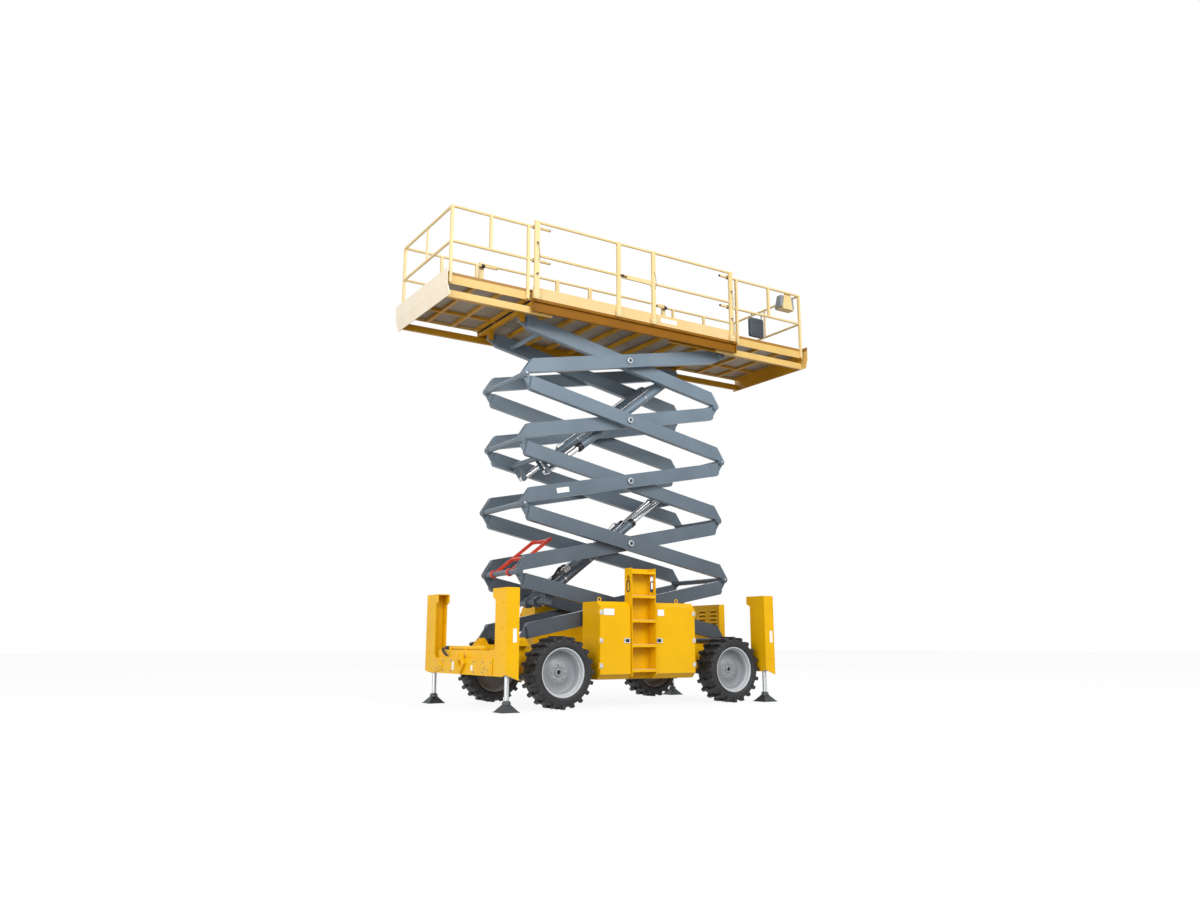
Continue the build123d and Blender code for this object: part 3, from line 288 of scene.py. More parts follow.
def meshFinish():
    # expanded metal: a diamond net that reads as light from above, with painted shade dark brown in its holes
    finish = Finish("deckMesh", metallic=0.35)
    turned = finish.node("ShaderNodeMapping", values={"Vector": finish.place, "Rotation": (0, 0, 0.785),
                                                      "Scale": (34.0, 34.0, 34.0)}, output="Vector")
    cells = finish.node("ShaderNodeTexBrick", {"offset": 0.0}, {
        "Vector": turned, "Scale": 1.0, "Mortar Size": 0.16, "Mortar Smooth": 0.3, "Brick Width": 1.0,
        "Row Height": 1.0, "Color1": rgba((0.0, 0.0, 0.0)), "Color2": rgba((0.0, 0.0, 0.0)),
        "Mortar": rgba((1.0, 1.0, 1.0))}, output="Fac")
    clouds = finish.noise(3.0, 4.0)
    wire = finish.mix((clouds * 1.2 - 0.1).clipped(), rgba((0.34, 0.28, 0.21)), rgba((0.50, 0.42, 0.32)))
    finish.set(colour=finish.mix(cells, rgba((0.12, 0.085, 0.055)), wire), roughness=0.5,
               normal=finish.bump(cells, 0.6, 0.004))
    return finish.material


finishes["tyreRubber"] = rubberFinish()
finishes["galvanised"] = steelFinish("galvanised", (0.36, 0.38, 0.39), (0.60, 0.62, 0.63), 0.34, 60.0)
finishes["chrome"] = steelFinish("chrome", (0.62, 0.63, 0.65), (0.74, 0.75, 0.77), 0.10, 200.0)
finishes["boltSteel"] = steelFinish("boltSteel", (0.30, 0.30, 0.31), (0.46, 0.46, 0.47), 0.32, 90.0)
finishes["deckMesh"] = meshFinish()
finishes["legSteel"] = legFinish()
finishes["capSteel"] = steelFinish("capSteel", (0.50, 0.51, 0.52), (0.72, 0.73, 0.74), 0.30, 140.0)
finishes["footSteel"] = steelFinish("footSteel", (0.07, 0.076, 0.082), (0.15, 0.157, 0.165), 0.42, 80.0)
print("finishes made:", len(finishes))


def seenStraight(tree):
    # 1 where the camera sees it directly, in metal or through glass
    camera, glossy, through = [addNode(tree, "ShaderNodeLightPath", output=f"Is {kind} Ray")
                               for kind in ("Camera", "Glossy", "Transmission")]
    return (camera + glossy + through).clipped()


def floorFinish():
    finish = Finish("paleFloor", roughness=0.9)
    diffuse = finish.node("ShaderNodeLightPath", output="Is Diffuse Ray")
    finish.set(colour=finish.mix(diffuse, rgba((0.9, 0.9, 0.9)), rgba((0.34, 0.33, 0.31))))
    glow = finish.node("ShaderNodeEmission", values={"Strength": 1.0})
    blend = finish.node("ShaderNodeMixShader", values={
        0: seenStraight(finish.tree) * 0.90, 1: Tap(finish.tree, finish.shader.outputs[0]), 2: glow})
    finish.tree.links.new(blend.socket, finish.tree.nodes["Material Output"].inputs["Surface"])
    return finish.material


stage = {"floorSize": 160.0, "worldLight": 0.66}
bpy.ops.mesh.primitive_plane_add(size=stage["floorSize"], location=(0, 0, -0.002))
floor = bpy.context.object
floor.name = "floor"
floor.data.materials.append(floorFinish())

world = bpy.data.worlds.new("studio")
world.use_nodes = True
bpy.context.scene.world = world
background = world.node_tree.nodes["Background"]
background.inputs["Color"].default_value = (1, 1, 1, 1)
skyStrength = stage["worldLight"] + seenStraight(world.node_tree) * (1.0 - stage["worldLight"])
world.node_tree.links.new(skyStrength.socket, background.inputs["Strength"])

lamps = [
    {"name": "keyLamp", "place": (2.0, -17.0, 13.0), "aimAt": (0, 0, 3.0), "size": 9.0, "watts": 2500},
    {"name": "fillLamp", "place": (-15.0, -9.0, 6.0), "aimAt": (0, 0, 3.0), "size": 9.0, "watts": 1200},
    {"name": "lowLamp", "place": (-10.0, -1.5, 1.9), "aimAt": (1.8, 0, 1.1), "size": 2.0, "watts": 150},
    {"name": "backLamp", "place": (8.0, 14.0, 12.0), "aimAt": (0, 0, 4.0), "size": 9.0, "watts": 600},
]
for lamp in lamps:
    lampData = bpy.data.lights.new(lamp["name"], "AREA")
    lampData.size = lamp["size"]
    lampData.energy = lamp["watts"]
    lampObject = bpy.data.objects.new(lamp["name"], lampData)
    lampObject.location = lamp["place"]
    aim = Vector(lamp["aimAt"]) - Vector(lamp["place"])
    lampObject.rotation_euler = aim.to_track_quat("-Z", "Y").to_euler()
    bpy.context.scene.collection.objects.link(lampObject)
print("camera, floor and lamps in place")

# finishes on the frame's own pieces

sides = (("right", -1), ("left", 1))
corners = [(end, side) for end in ("rear", "front") for side, flip in sides]
nodeFinishes = {
    "armSlate": [f"scissor_{kind}_{level}" for kind in ("outer", "inner") for level in range(1, 6)]
                + ["lower_cylinder_barrels", "upper_cylinder_barrels"],
    "chrome": ["lower_cylinder_rods", "upper_cylinder_rods"],
    "legSteel": [f"leg_{end}_{side}" for end, side in corners],
    "gloss": ["knuckle_left", "knuckle_right", "tie_rod", "engine_block", "manual_box"],
    "propRed": ["safety_prop"],
    "boxGrey": ["control_box"],
    "deckMesh": ["deck_floor", "rear_deck_floor", "front_deck_floor"],
    "deckPaint": ["deck_frame"],
    "rearDeckPaint": ["rear_deck_frame"],
    "frontDeckPaint": ["front_deck_frame"],
    "railPaintedLight": ["guardrails", "gate_bar", "rear_deck_rails", "front_deck_rails"],
    "tyreRubber": [f"tyre_{end}_{side}" for end, side in corners],
    "wheelSilver": [f"rim_{end}_{side}" for end, side in corners],
}
finishOfNode = {node: finish for finish, members in nodeFinishes.items() for node in members}
for nodeName, node in nodes.items():
    node.data.materials.clear()
    node.data.materials.append(finishes[finishOfNode.get(nodeName, "machineYellow")])
print("frame pieces finished:", len(nodes))

# shaping tools


def choose(piece):
    deselectAll()
    piece.select_set(True)
    bpy.context.view_layer.objects.active = piece
    return piece


def discard(*pieces):
    for piece in pieces:
        bpy.data.objects.remove(piece)


def work(piece, kind="FACE"):
    # opens a piece for editing with nothing selected
    choose(piece)
    bpy.ops.object.mode_set(mode="EDIT")
    bpy.ops.mesh.select_mode(type=kind)
    bpy.ops.mesh.select_all(action="DESELECT")


def rest():
    bpy.ops.object.mode_set(mode="OBJECT")


def pickFaces(piece, wanted):
    work(piece)
    rest()
    for face in piece.data.polygons:
        face.select = wanted(face.center, face.normal)
    bpy.ops.object.mode_set(mode="EDIT")


def shapeSide(piece, facing, resize=None, move=None, inset=None, sink=None):
    # one flat side of a piece: narrowed and moved, then drawn in and sunk
    facing = Vector(facing)
    pickFaces(piece, lambda centre, normal: normal.dot(facing) > 0.9)
    if resize:
        bpy.ops.transform.resize(value=resize)
    if move:
        bpy.ops.transform.translate(value=move)
    if inset:
        bpy.ops.mesh.inset(thickness=inset)
    if sink:
        bpy.ops.transform.translate(value=sink)
    rest()
    return piece


def settle(piece):
    choose(piece)
    bpy.ops.object.transform_apply(location=True, rotation=True, scale=True)
    return piece


def ringBar(radius, wire, centre=origin, turned=(math.pi / 2, 0, 0), steps=(28, 10)):
    # a round bar bent to a ring
    deselectAll()
    bpy.ops.mesh.primitive_torus_add(major_radius=radius, minor_radius=wire, major_segments=steps[0],
                                     minor_segments=steps[1], location=centre, rotation=turned)
    return settle(bpy.context.object)


def block(centre, size):
    deselectAll()
    bpy.ops.mesh.primitive_cube_add(size=1, location=centre)
    bpy.context.object.scale = size
    return settle(bpy.context.object)


def drum(centre, axis, radius, depth, sides=24):
    deselectAll()
    turned = Vector(axis).to_track_quat("Z", "Y").to_euler()
    bpy.ops.mesh.primitive_cylinder_add(vertices=sides, radius=radius, depth=depth, location=centre,
                                        rotation=turned)
    return settle(bpy.context.object)


def lathe(profile, centre, axis, steps=48, closed=True):
    # profile: (distance along the axis, radius) from point to point, spun round the axis
    axis = Vector(axis).normalized()
    out = axis.orthogonal().normalized()
    centre = Vector(centre)
    places = [centre + axis * along + out * radius for along, radius in profile]
    if closed:
        places.append(places[0])
    deselectAll()
    bpy.ops.mesh.primitive_plane_add(size=0.01, location=places[0])
    piece = settle(bpy.context.object)
    work(piece, "VERT")
    bpy.ops.mesh.select_all(action="SELECT")
    bpy.ops.mesh.merge(type="CENTER")
    for start, end in zip(places, places[1:]):
        bpy.ops.mesh.extrude_region_move(TRANSFORM_OT_translate={"value": end - start})
    bpy.ops.mesh.select_all(action="SELECT")
    bpy.ops.mesh.spin(steps=steps, angle=math.tau, center=centre, axis=axis)
    bpy.ops.mesh.select_all(action="SELECT")
    bpy.ops.mesh.remove_doubles(threshold=0.00005)
    bpy.ops.mesh.normals_make_consistent(inside=False)
    rest()
    return piece


def soften(piece, width, segments=2, angle=30):
    bevel = piece.modifiers.new("soft", "BEVEL")
    bevel.width = width
    bevel.segments = segments
    bevel.limit_method = "ANGLE"
    bevel.angle_limit = math.radians(angle)
    choose(piece)
    bpy.ops.object.modifier_apply(modifier="soft")
    return piece


def paint(piece, finish):
    piece.data.materials.clear()
    piece.data.materials.append(finishes[finish])
    return piece


def again(piece, matrix):
    # one more of a finished shape, with its own mesh
    twin = piece.copy()
    twin.data = piece.data.copy()
    twin.data.transform(matrix)
    bpy.context.scene.collection.objects.link(twin)
    return twin


def placed(piece, place, facing=Matrix()):
    # a copy of a shape made at the origin, turned and taken to its place
    return again(piece, Matrix.Translation(place) @ facing)


def joined(pieces):
    deselectAll()
    for piece in pieces:
        piece.select_set(True)
    bpy.context.view_layer.objects.active = pieces[0]
    if len(pieces) > 1:
        bpy.ops.object.join()
    return pieces[0]


def fit(piece, name, body, smooth=35, replaces=()):
    piece.name = name
    choose(piece)
    bpy.ops.object.shade_smooth_by_angle(angle=math.radians(smooth))
    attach(piece, body)
    if replaces:
        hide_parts(*replaces)
    return piece


def turn(angle, axis, centre=origin):
    middle = Matrix.Translation(centre)
    return middle @ Matrix.Rotation(angle, 4, Vector(axis)) @ middle.inverted()


def onSide(flip):
    # shapes are made to face the right side, and turned half round for the left
    return turn(0 if flip < 0 else math.pi, up)


def hexBolt(place, axis, size, finish="boltSteel"):
    # washer, hexagon head with eased corners
    axis = Vector(axis).normalized()
    place = Vector(place)
    washer = lathe([(0, 0), (0, size * 0.95), (size * 0.16, size * 0.95), (size * 0.16, 0)], place, axis, 16)
    head = drum(place + axis * size * 0.46, axis, size * 0.62, size * 0.62, 6)
    shapeSide(head, axis, inset=size * 0.10, sink=axis * size * 0.06)
    return paint(joined([washer, head]), finish)


def boltsAt(places, axis, size, finish="boltSteel"):
    first = hexBolt(places[0], axis, size, finish)
    others = [again(first, Matrix.Translation(Vector(place) - Vector(places[0]))) for place in places[1:]]
    return joined([first] + others)


def hose(route, radius):
    # a clamped hose run: a smooth spline with a round bevel, made a mesh
    curve = bpy.data.curves.new("hose", "CURVE")
    curve.dimensions = "3D"
    curve.bevel_depth = radius
    curve.bevel_resolution = 3
    curve.resolution_u = 10
    spline = curve.splines.new("NURBS")
    spline.points.add(len(route) - 1)
    for point, place in zip(spline.points, route):
        point.co = (*place, 1)
    spline.order_u = 3
    spline.use_endpoint_u = True
    curve.use_fill_caps = True
    carrier = bpy.data.objects.new("hose", curve)
    bpy.context.scene.collection.objects.link(carrier)
    choose(carrier)
    bpy.ops.object.convert(target="MESH")
    return bpy.context.object


# wheels

tyre = {"half": 0.170, "seat": 0.3054, "lugs": 20, "lugWide": 0.058, "steps": 80}
half = tyre["half"]
shoulder = [(0.130, 0.429), (0.156, 0.420), (0.167, 0.402), (0.169, 0.380), (0.166, 0.360), (half, 0.352),
            (0.164, 0.345), (0.158, 0.330), (0.147, 0.314), (0.134, tyre["seat"])]
carcass = lathe([(-along, radius) for along, radius in reversed(shoulder)] + [(-0.050, 0.433), (0.050, 0.433)]
                + shoulder, origin, toLeft, tyre["steps"])


def makeLug():
    # one tread bar at the top of the wheel: a deep shoulder block, a neck and an inner block
    lug = block((0, 0.152, 0.4265), (tyre["lugWide"], 0.040, 0.075))
    for run, drift, shrink in ((-0.050, 0.010, 0.74), (-0.040, 0.020, 1.22), (-0.046, 0.002, 1.0)):
        pickFaces(lug, lambda centre, normal: normal.y < -0.9)
        bpy.ops.mesh.extrude_region_move(TRANSFORM_OT_translate={"value": (drift, run, 0)})
        bpy.ops.transform.resize(value=(shrink, 1, 1))
        rest()
    shapeSide(lug, up, resize=(0.86, 0.985, 1))
    shapeSide(lug, toLeft, resize=(0.9, 1, 0.86), move=(0, 0, 0.004))
    return soften(lug, 0.0045, 2)


lug = makeLug()
pitch = math.tau / tyre["lugs"]
bars = []
for number in range(tyre["lugs"]):
    bars.append(again(lug, turn(pitch * number, toLeft)))
    bars.append(again(lug, turn(pitch * (number + 0.25), toLeft) @ turn(math.pi, up)))
tyreShape = paint(joined([carcass] + bars), "tyreRubber")
discard(lug)
print("tyre:", len(tyreShape.data.polygons), "faces")

rim = {"studCircle": 0.098, "studs": 8, "studSize": 0.017, "steps": 72}
rimShell = lathe(
    [(0.134, 0.3052), (0.134, 0.325), (0.147, 0.325), (0.149, 0.316), (0.145, 0.303), (0.139, 0.299),
     (0.120, 0.297), (0.100, 0.291), (0.092, 0.276), (0.060, 0.271), (0.030, 0.268), (0.012, 0.258),
     (0.002, 0.236), (0.000, 0.200), (0.006, 0.165), (0.020, 0.142), (0.026, 0.130), (0.026, 0.066),
     (0.020, 0.060), (-0.013, 0.058), (-0.013, 0.118), (-0.006, 0.150), (-0.012, 0.200), (-0.012, 0.245),
     (-0.022, 0.268), (-0.088, 0.276), (-0.100, 0.291), (-0.139, 0.299), (-0.149, 0.316), (-0.147, 0.325),
     (-0.134, 0.325), (-0.134, 0.3052)], origin, toLeft, rim["steps"])
hub = lathe([(-0.012, 0.0575), (0.026, 0.0575), (0.032, 0.052), (0.036, 0.044), (0.036, 0.034),
             (0.030, 0.030), (0.004, 0.030), (-0.012, 0.030)], origin, toLeft, 32)
hubCap = lathe([(-0.012, 0), (-0.012, 0.0295), (0.010, 0.0295), (0.012, 0.02), (0.016, 0.016), (0.016, 0)],
               origin, toLeft, 24)
valve = lathe([(0, 0), (0, 0.004), (0.034, 0.004), (0.034, 0.0055), (0.044, 0.0055), (0.044, 0)],
              (0, 0.045, 0.266), (0, 1, -0.35), 12)
rimParts = [paint(rimShell, "wheelSilver"), paint(hub, "wheelSilver"), paint(hubCap, "gloss"),
            paint(valve, "gloss")]
studEnd = drum((0, 0.040, rim["studCircle"]), toLeft, 0.0065, 0.022, 12)
studEnd = soften(paint(studEnd, "boltSteel"), 0.0015, 1)
stud = joined([hexBolt((0, 0.026, rim["studCircle"]), toLeft, rim["studSize"]), studEnd])
rimParts += [again(stud, turn(math.tau * number / rim["studs"], toLeft)) for number in range(rim["studs"])]
rimShape = joined(rimParts)

for end, side in corners:
    low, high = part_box(f"tyre_{end}_{side}")
    facing = turn(math.pi if side == "right" else 0, up)
    fit(placed(tyreShape, (low + high) / 2, facing), f"treadedTyre_{end}_{side}", f"wheel_{end}_{side}",
        replaces=[f"tyre_{end}_{side}"])
    fit(placed(rimShape, (low + high) / 2, facing), f"dishedRim_{end}_{side}", f"wheel_{end}_{side}",
        replaces=[f"rim_{end}_{side}"])
discard(stud, tyreShape, rimShape)
print("wheels fitted")

# pins and caps on the scissor

jointPlace = {joint["name"]: Vector(joint["pos_m"]) for joint in frame["joints"] if "pos_m" in joint}
levelRise = jointPlace["arm_pivot_2"].z - jointPlace["arm_pivot_1"].z
pinCap = {"ring": 0.046, "height": 0.012, "bolt": 0.015, "centreFace": 0.659, "endFace": 0.651,
          "endRing": 0.032}


def capShape(ring, height, bolt):
    # pale retaining ring round the pin's painted end, with a keeper bolt, facing the right side
    cap = lathe([(0, ring * 0.62), (0, ring), (height * 0.6, ring), (height, ring * 0.88),
                 (height, ring * 0.70), (height * 0.5, ring * 0.62)], origin, toRight, 40)
    face = lathe([(0, 0), (0, ring * 0.64), (height * 0.45, ring * 0.64), (height * 0.55, ring * 0.56),
                  (height * 0.55, 0)], origin, toRight, 32)
    return joined([paint(cap, "capSteel"), paint(face, "armSlate"),
                   hexBolt((0, -height * 0.5, 0), toRight, bolt, "gloss")])


centreCap = capShape(pinCap["ring"], pinCap["height"], pinCap["bolt"])
endDisc = lathe([(0, 0), (0, pinCap["endRing"]), (0.006, pinCap["endRing"]), (0.010, 0.024), (0.010, 0)],
                origin, toRight, 32)
endCap = joined([paint(endDisc, "armSlate"), hexBolt((0, -0.009, 0), toRight, 0.013, "capSteel")])
rightX = jointPlace["arm_joint_2"].x
leftX = jointPlace["arm_joint_3"].x
for level in range(1, 6):
    middle = jointPlace[f"arm_pivot_{level}"]
    caps = []
    for flip in (-1, 1):
        caps.append(placed(centreCap, (middle.x, flip * pinCap["centreFace"], middle.z), onSide(flip)))
        if level < 5:
            endX = rightX if level % 2 else leftX
            place = (endX, flip * pinCap["endFace"], middle.z + levelRise / 2)
            caps.append(placed(endCap, place, onSide(flip)))
    fit(joined(caps), f"pinCaps_outer_{level}", f"scissor_outer_{level}")
discard(centreCap, endCap)

cornerOffset = 0.104  # from an arm's middle line to its corner pins
armLength = (jointPlace["arm_joint_4"] - jointPlace["arm_joint_3"]).length
armHalf = math.sqrt(armLength ** 2 - (2 * cornerOffset) ** 2) / 2
lean = math.atan2(levelRise, rightX - leftX) - math.asin(2 * cornerOffset / armLength)


def onArm(level, rising, along, across, y):
    # a place on an arm's own axes: along it from the centre pin, and above its middle line
    centre = jointPlace[f"arm_pivot_{level}"]
    slope = rising * lean
    return Vector((centre.x + along * math.cos(slope) - across * math.sin(slope), y,
                   centre.z + along * math.sin(slope) + across * math.cos(slope)))


armPlate = {"size": (0.20, 0.0016, 0.072), "along": -1.16, "face": 0.6452}
label = block(origin, armPlate["size"])
for facing in (toLeft, toRight):
    shapeSide(label, facing, inset=0.003)
label = paint(soften(label, 0.0006, 1), "plateWhite")
label.data.transform(Matrix.Translation(onArm(3, 1, armPlate["along"], 0, -armPlate["face"]))
                     @ Matrix.Rotation(-lean, 4, toLeft))
fit(label, "blankPlate_arm", "scissor_outer_3")
print("scissor pins capped")

# doors: latches, blank plates, hinge leaves and lifting eyes

latch = {"plate": (0.100, 0.006, 0.064), "height": 0.872, "inFromEdge": 0.060, "bed": 0.0002}
hingeLeaf = {"levels": (0.543, 0.872, 1.244), "size": (0.046, 0.004, 0.062), "inFromEdge": 0.039,
             "boltDrop": 0.018, "bolt": 0.0065}
doorPlate = {"rear": {"wide": 0.17, "fromEdge": 0.16}, "front": {"wide": 0.11, "fromEdge": 0.085},
             "tall": 0.085}


def makeLatch():
    # recessed paddle latch facing the right side, its back at the origin
    wide, thick, tall = latch["plate"]
    base = block((0, -thick / 2, 0), latch["plate"])
    shapeSide(base, toRight, inset=0.007, sink=(0, 0.003, 0))
    paddle = block((0.008, -0.0065, 0), (wide * 0.52, 0.006, tall * 0.62))
    shapeSide(paddle, toRight, inset=0.004, sink=(0.002, -0.002, 0))
    keyhole = lathe([(0, 0), (0, 0.0065), (0.004, 0.0065), (0.004, 0.003), (0.002, 0.003), (0.002, 0)],
                    (-0.028, -0.0035, 0), toRight, 16)
    return joined([paint(soften(base, 0.0012), "capSteel"), paint(soften(paddle, 0.0015), "gloss"),
                   paint(keyhole, "boltSteel")])


def plateShape(wide, tall, thick=0.0016):
    # blank name plate facing the right side
    plate = block((0, -thick / 2, 0), (wide, thick, tall))
    shapeSide(plate, toRight, inset=0.004)
    return paint(soften(plate, 0.0006, 1), "plateWhite")


latchShape = makeLatch()
for side, flip in sides:
    for end, toHinge in (("rear", -1), ("front", 1)):
        low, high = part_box(f"door_{side}_{end}")
        outer = low.y if flip < 0 else high.y
        hingeEdge, freeEdge = (low.x, high.x) if end == "rear" else (high.x, low.x)
        facing = onSide(flip) if toHinge == flip else onSide(flip) @ turn(math.pi, toLeft)
        latchX = freeEdge + toHinge * latch["inFromEdge"]
        pieces = [placed(latchShape, (latchX, outer - flip * latch["bed"], latch["height"]), facing)]
        leafX = hingeEdge - toHinge * hingeLeaf["inFromEdge"]
        thick = hingeLeaf["size"][1]
        for level in hingeLeaf["levels"]:
            leaf = block((leafX, outer + flip * thick / 2, level), hingeLeaf["size"])
            shapeSide(leaf, (0, flip, 0), inset=0.005, sink=(0, flip * 0.0012, 0))
            pieces.append(paint(soften(leaf, 0.001, 1), "capSteel"))
            boltPlaces = [(leafX, outer + flip * (thick + 0.001), level + drop)
                          for drop in (-hingeLeaf["boltDrop"], hingeLeaf["boltDrop"])]
            pieces.append(boltsAt(boltPlaces, (0, flip, 0), hingeLeaf["bolt"]))
        if side == "right":
            shape = plateShape(doorPlate[end]["wide"], doorPlate["tall"])
            pieces.append(placed(shape, (low.x + doorPlate[end]["fromEdge"], outer - latch["bed"],
                                         high.z - doorPlate["tall"])))
            discard(shape)
        fit(joined(pieces), f"doorFittings_{side}_{end}", f"door_{side}_{end}")
discard(latchShape)

liftEye = {"ring": 0.026, "wire": 0.007, "places": (-0.90, 0.40), "fromOuter": 0.16}
eyeFoot = lathe([(0, 0), (0, 0.020), (0.006, 0.020), (0.009, 0.012), (0.012, 0.010), (0.012, 0)],
                origin, up, 20)
eyeShape = paint(joined([ringBar(liftEye["ring"], liftEye["wire"], (0, 0, 0.030)), eyeFoot]), "machineYellow")
for side, flip in sides:
    low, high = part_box(f"side_box_{side}")
    eyeY = (high.y if flip > 0 else low.y) - flip * liftEye["fromOuter"]
    eyes = [placed(eyeShape, (x, eyeY, high.z)) for x in liftEye["places"]]
    fit(joined(eyes), f"liftingEyes_{side}", "chassis")
discard(eyeShape)
print("doors fitted out")

# outrigger guards: bolts and blank plates

guard = {"half": 0.090, "bolt": 0.013, "boltInset": 0.022, "rows": (0.62, 0.86, 1.10, 1.34),
         "flangeY": 1.165, "flangeRows": (0.70, 1.02, 1.34), "plate": (0.052, 0.17), "plateShift": 0.03,
         "plateHeight": 0.93, "eyeDepth": 0.036, "beamBolt": 0.014,
         "beamBoltsY": (-0.62, -0.36, 0.36, 0.62), "beamRows": (0.47, 0.60)}
for end, outward in (("rear", -1), ("front", 1)):
    low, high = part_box(f"outrigger_{end}")
    middleX = sum(corner.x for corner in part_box(f"leg_{end}_right")) / 2
    beamFace = (low.x if outward < 0 else high.x) - outward * guard["eyeDepth"]
    shape = plateShape(*guard["plate"])
    pieces = []
    for flip, face in ((-1, low.y), (1, high.y)):
        for reach in (guard["boltInset"] - guard["half"], guard["half"] - guard["boltInset"]):
            places = [(middleX + reach, face, z) for z in guard["rows"]]
            pieces.append(boltsAt(places, (0, flip, 0), guard["bolt"], "machineYellow"))
        places = [(middleX + outward * guard["half"], flip * guard["flangeY"], z)
                  for z in guard["flangeRows"]]
        pieces.append(boltsAt(places, (outward, 0, 0), guard["bolt"], "machineYellow"))
        place = (middleX + guard["plateShift"], face, guard["plateHeight"])
        pieces.append(placed(shape, place, onSide(flip)))
    for y in guard["beamBoltsY"]:
        places = [(beamFace, y, z) for z in guard["beamRows"]]
        pieces.append(boltsAt(places, (outward, 0, 0), guard["beamBolt"]))
    fit(joined(pieces), f"guardFittings_{end}", "chassis")
    discard(shape)

# legs: foot gussets and collar

foot = {"gussets": 4, "start": 0.031, "thick": 0.008, "reach": 0.085, "tall": 0.075, "plate": 0.012,
        "collar": 0.088}
for end, side in corners:
    low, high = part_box(f"leg_{end}_{side}")
    centre = Vector(((low.x + high.x) / 2, (low.y + high.y) / 2, 0))
    rib = block((foot["start"] + foot["reach"] / 2, 0, foot["plate"] + foot["tall"] / 2),
                (foot["reach"], foot["thick"], foot["tall"]))
    shapeSide(rib, ahead, resize=(1, 1, 0.14), move=(0, 0, -foot["tall"] * 0.43))
    rib = paint(soften(rib, 0.0015, 1), "footSteel")
    pieces = [placed(rib, centre, turn(math.tau * (number + 0.5) / foot["gussets"], up))
              for number in range(foot["gussets"])]
    collar = lathe([(0, 0.0315), (0, 0.052), (0.010, 0.055), (0.030, 0.055), (0.040, 0.045), (0.052, 0.0375),
                    (0.052, 0.0315)], centre + Vector((0, 0, foot["collar"])), up, 32)
    pieces.append(paint(collar, "footSteel"))
    fit(joined(pieces), f"footGussets_{end}_{side}", f"leg_{end}_{side}")
    discard(rib)
print("outriggers dressed")

# ladder: hand hole rims and rung tread

ladderLow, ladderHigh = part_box("ladder")
handHole = {"height": 1.645, "depth": 1.054, "halfTall": 0.115, "halfWide": 0.036, "wire": 0.0075}
rungs = {"low": 0.490, "pitch": 0.330, "count": 4, "ridges": 5, "ridgePitch": 0.011, "margin": 0.05}
pieces = []
for x in (ladderLow.x, ladderHigh.x):
    holeRim = ringBar(handHole["halfWide"], handHole["wire"], turned=(0, math.pi / 2, 0), steps=(40, 8))
    work(holeRim, "VERT")
    rest()
    for way in (1, -1):
        for vertex in holeRim.data.vertices:
            vertex.select = vertex.co.z * way > 0.001
        bpy.ops.object.mode_set(mode="EDIT")
        bpy.ops.transform.translate(value=(0, 0, way * (handHole["halfTall"] - handHole["halfWide"])))
        rest()
    holeRim.data.transform(Matrix.Translation((x, -handHole["depth"], handHole["height"])))
    pieces.append(paint(holeRim, "gloss"))
for rung in range(rungs["count"]):
    for ridge in range(rungs["ridges"]):
        strip = block(((ladderLow.x + ladderHigh.x) / 2, ladderLow.y + 0.010 + ridge * rungs["ridgePitch"],
                       rungs["low"] + rungs["pitch"] * rung + 0.0012),
                      (ladderHigh.x - ladderLow.x - rungs["margin"], 0.005, 0.0035))
        shapeSide(strip, up, resize=(1, 0.5, 1))
        pieces.append(paint(strip, "boltSteel"))
fit(joined(pieces), "ladderTrim", "chassis")
print("ladder trimmed")

# platform rails: sliding tubes, guides, lock pins and lanyards


def rod(start, end, radius, steps=16):
    # a round bar with its ends eased, between two places
    start, end = Vector(start), Vector(end)
    bar = drum((start + end) / 2, end - start, radius, (end - start).length, steps)
    return soften(bar, min(radius * 0.25, 0.003), 2, 50)


def railGuide():
    # nylon-lined clamp between a deck post and a sliding tube, its tube axis at the origin, post to the right
    shell = lathe([(-0.026, 0.0205), (-0.026, 0.029), (-0.022, 0.031), (0.022, 0.031), (0.026, 0.029),
                   (0.026, 0.0205)], origin, ahead, 28)
    strap = block((0, -0.0355, 0), (0.046, 0.013, 0.050))
    shapeSide(strap, toLeft, resize=(1, 1, 0.7))
    return joined([paint(shell, "gloss"), paint(soften(strap, 0.002), "railPaintedLight")])


def lockPin():
    # spring pin with a ring pull, on a post's right face
    body = lathe([(0, 0), (0, 0.013), (0.010, 0.013), (0.013, 0.010), (0.022, 0.010), (0.026, 0.007),
                  (0.026, 0)], origin, toRight, 20)
    ringPull = ringBar(0.014, 0.0022, (0, -0.023, -0.014), steps=(24, 8))
    return joined([paint(body, "gloss"), paint(ringPull, "boltSteel")])


railing = {"tube": 0.019, "slideY": 0.848, "slideZ": (6.6197, 6.1197), "reach": 0.34, "plug": 0.0175,
           "postFace": 0.926, "pinHeights": (6.36, 5.90), "deckPosts": (-1.905, 1.632),
           "allPosts": (-1.905, -0.526, 0.108, 1.632), "shoeHeight": 5.595}
for end, postX, inward in (("rear", -2.010, 1), ("front", 1.802, -1)):
    pieces = []
    for y in (-railing["slideY"], railing["slideY"]):
        for z in railing["slideZ"]:
            tip = postX + inward * railing["reach"]
            pieces.append(paint(rod((postX, y, z), (tip, y, z), railing["tube"]), "railPaintedLight"))
            plug = rod((tip - inward * 0.004, y, z), (tip + inward * 0.012, y, z), railing["plug"])
            pieces.append(paint(plug, "gloss"))
    fit(joined(pieces), f"slidingTubes_{end}", f"{end}_deck")

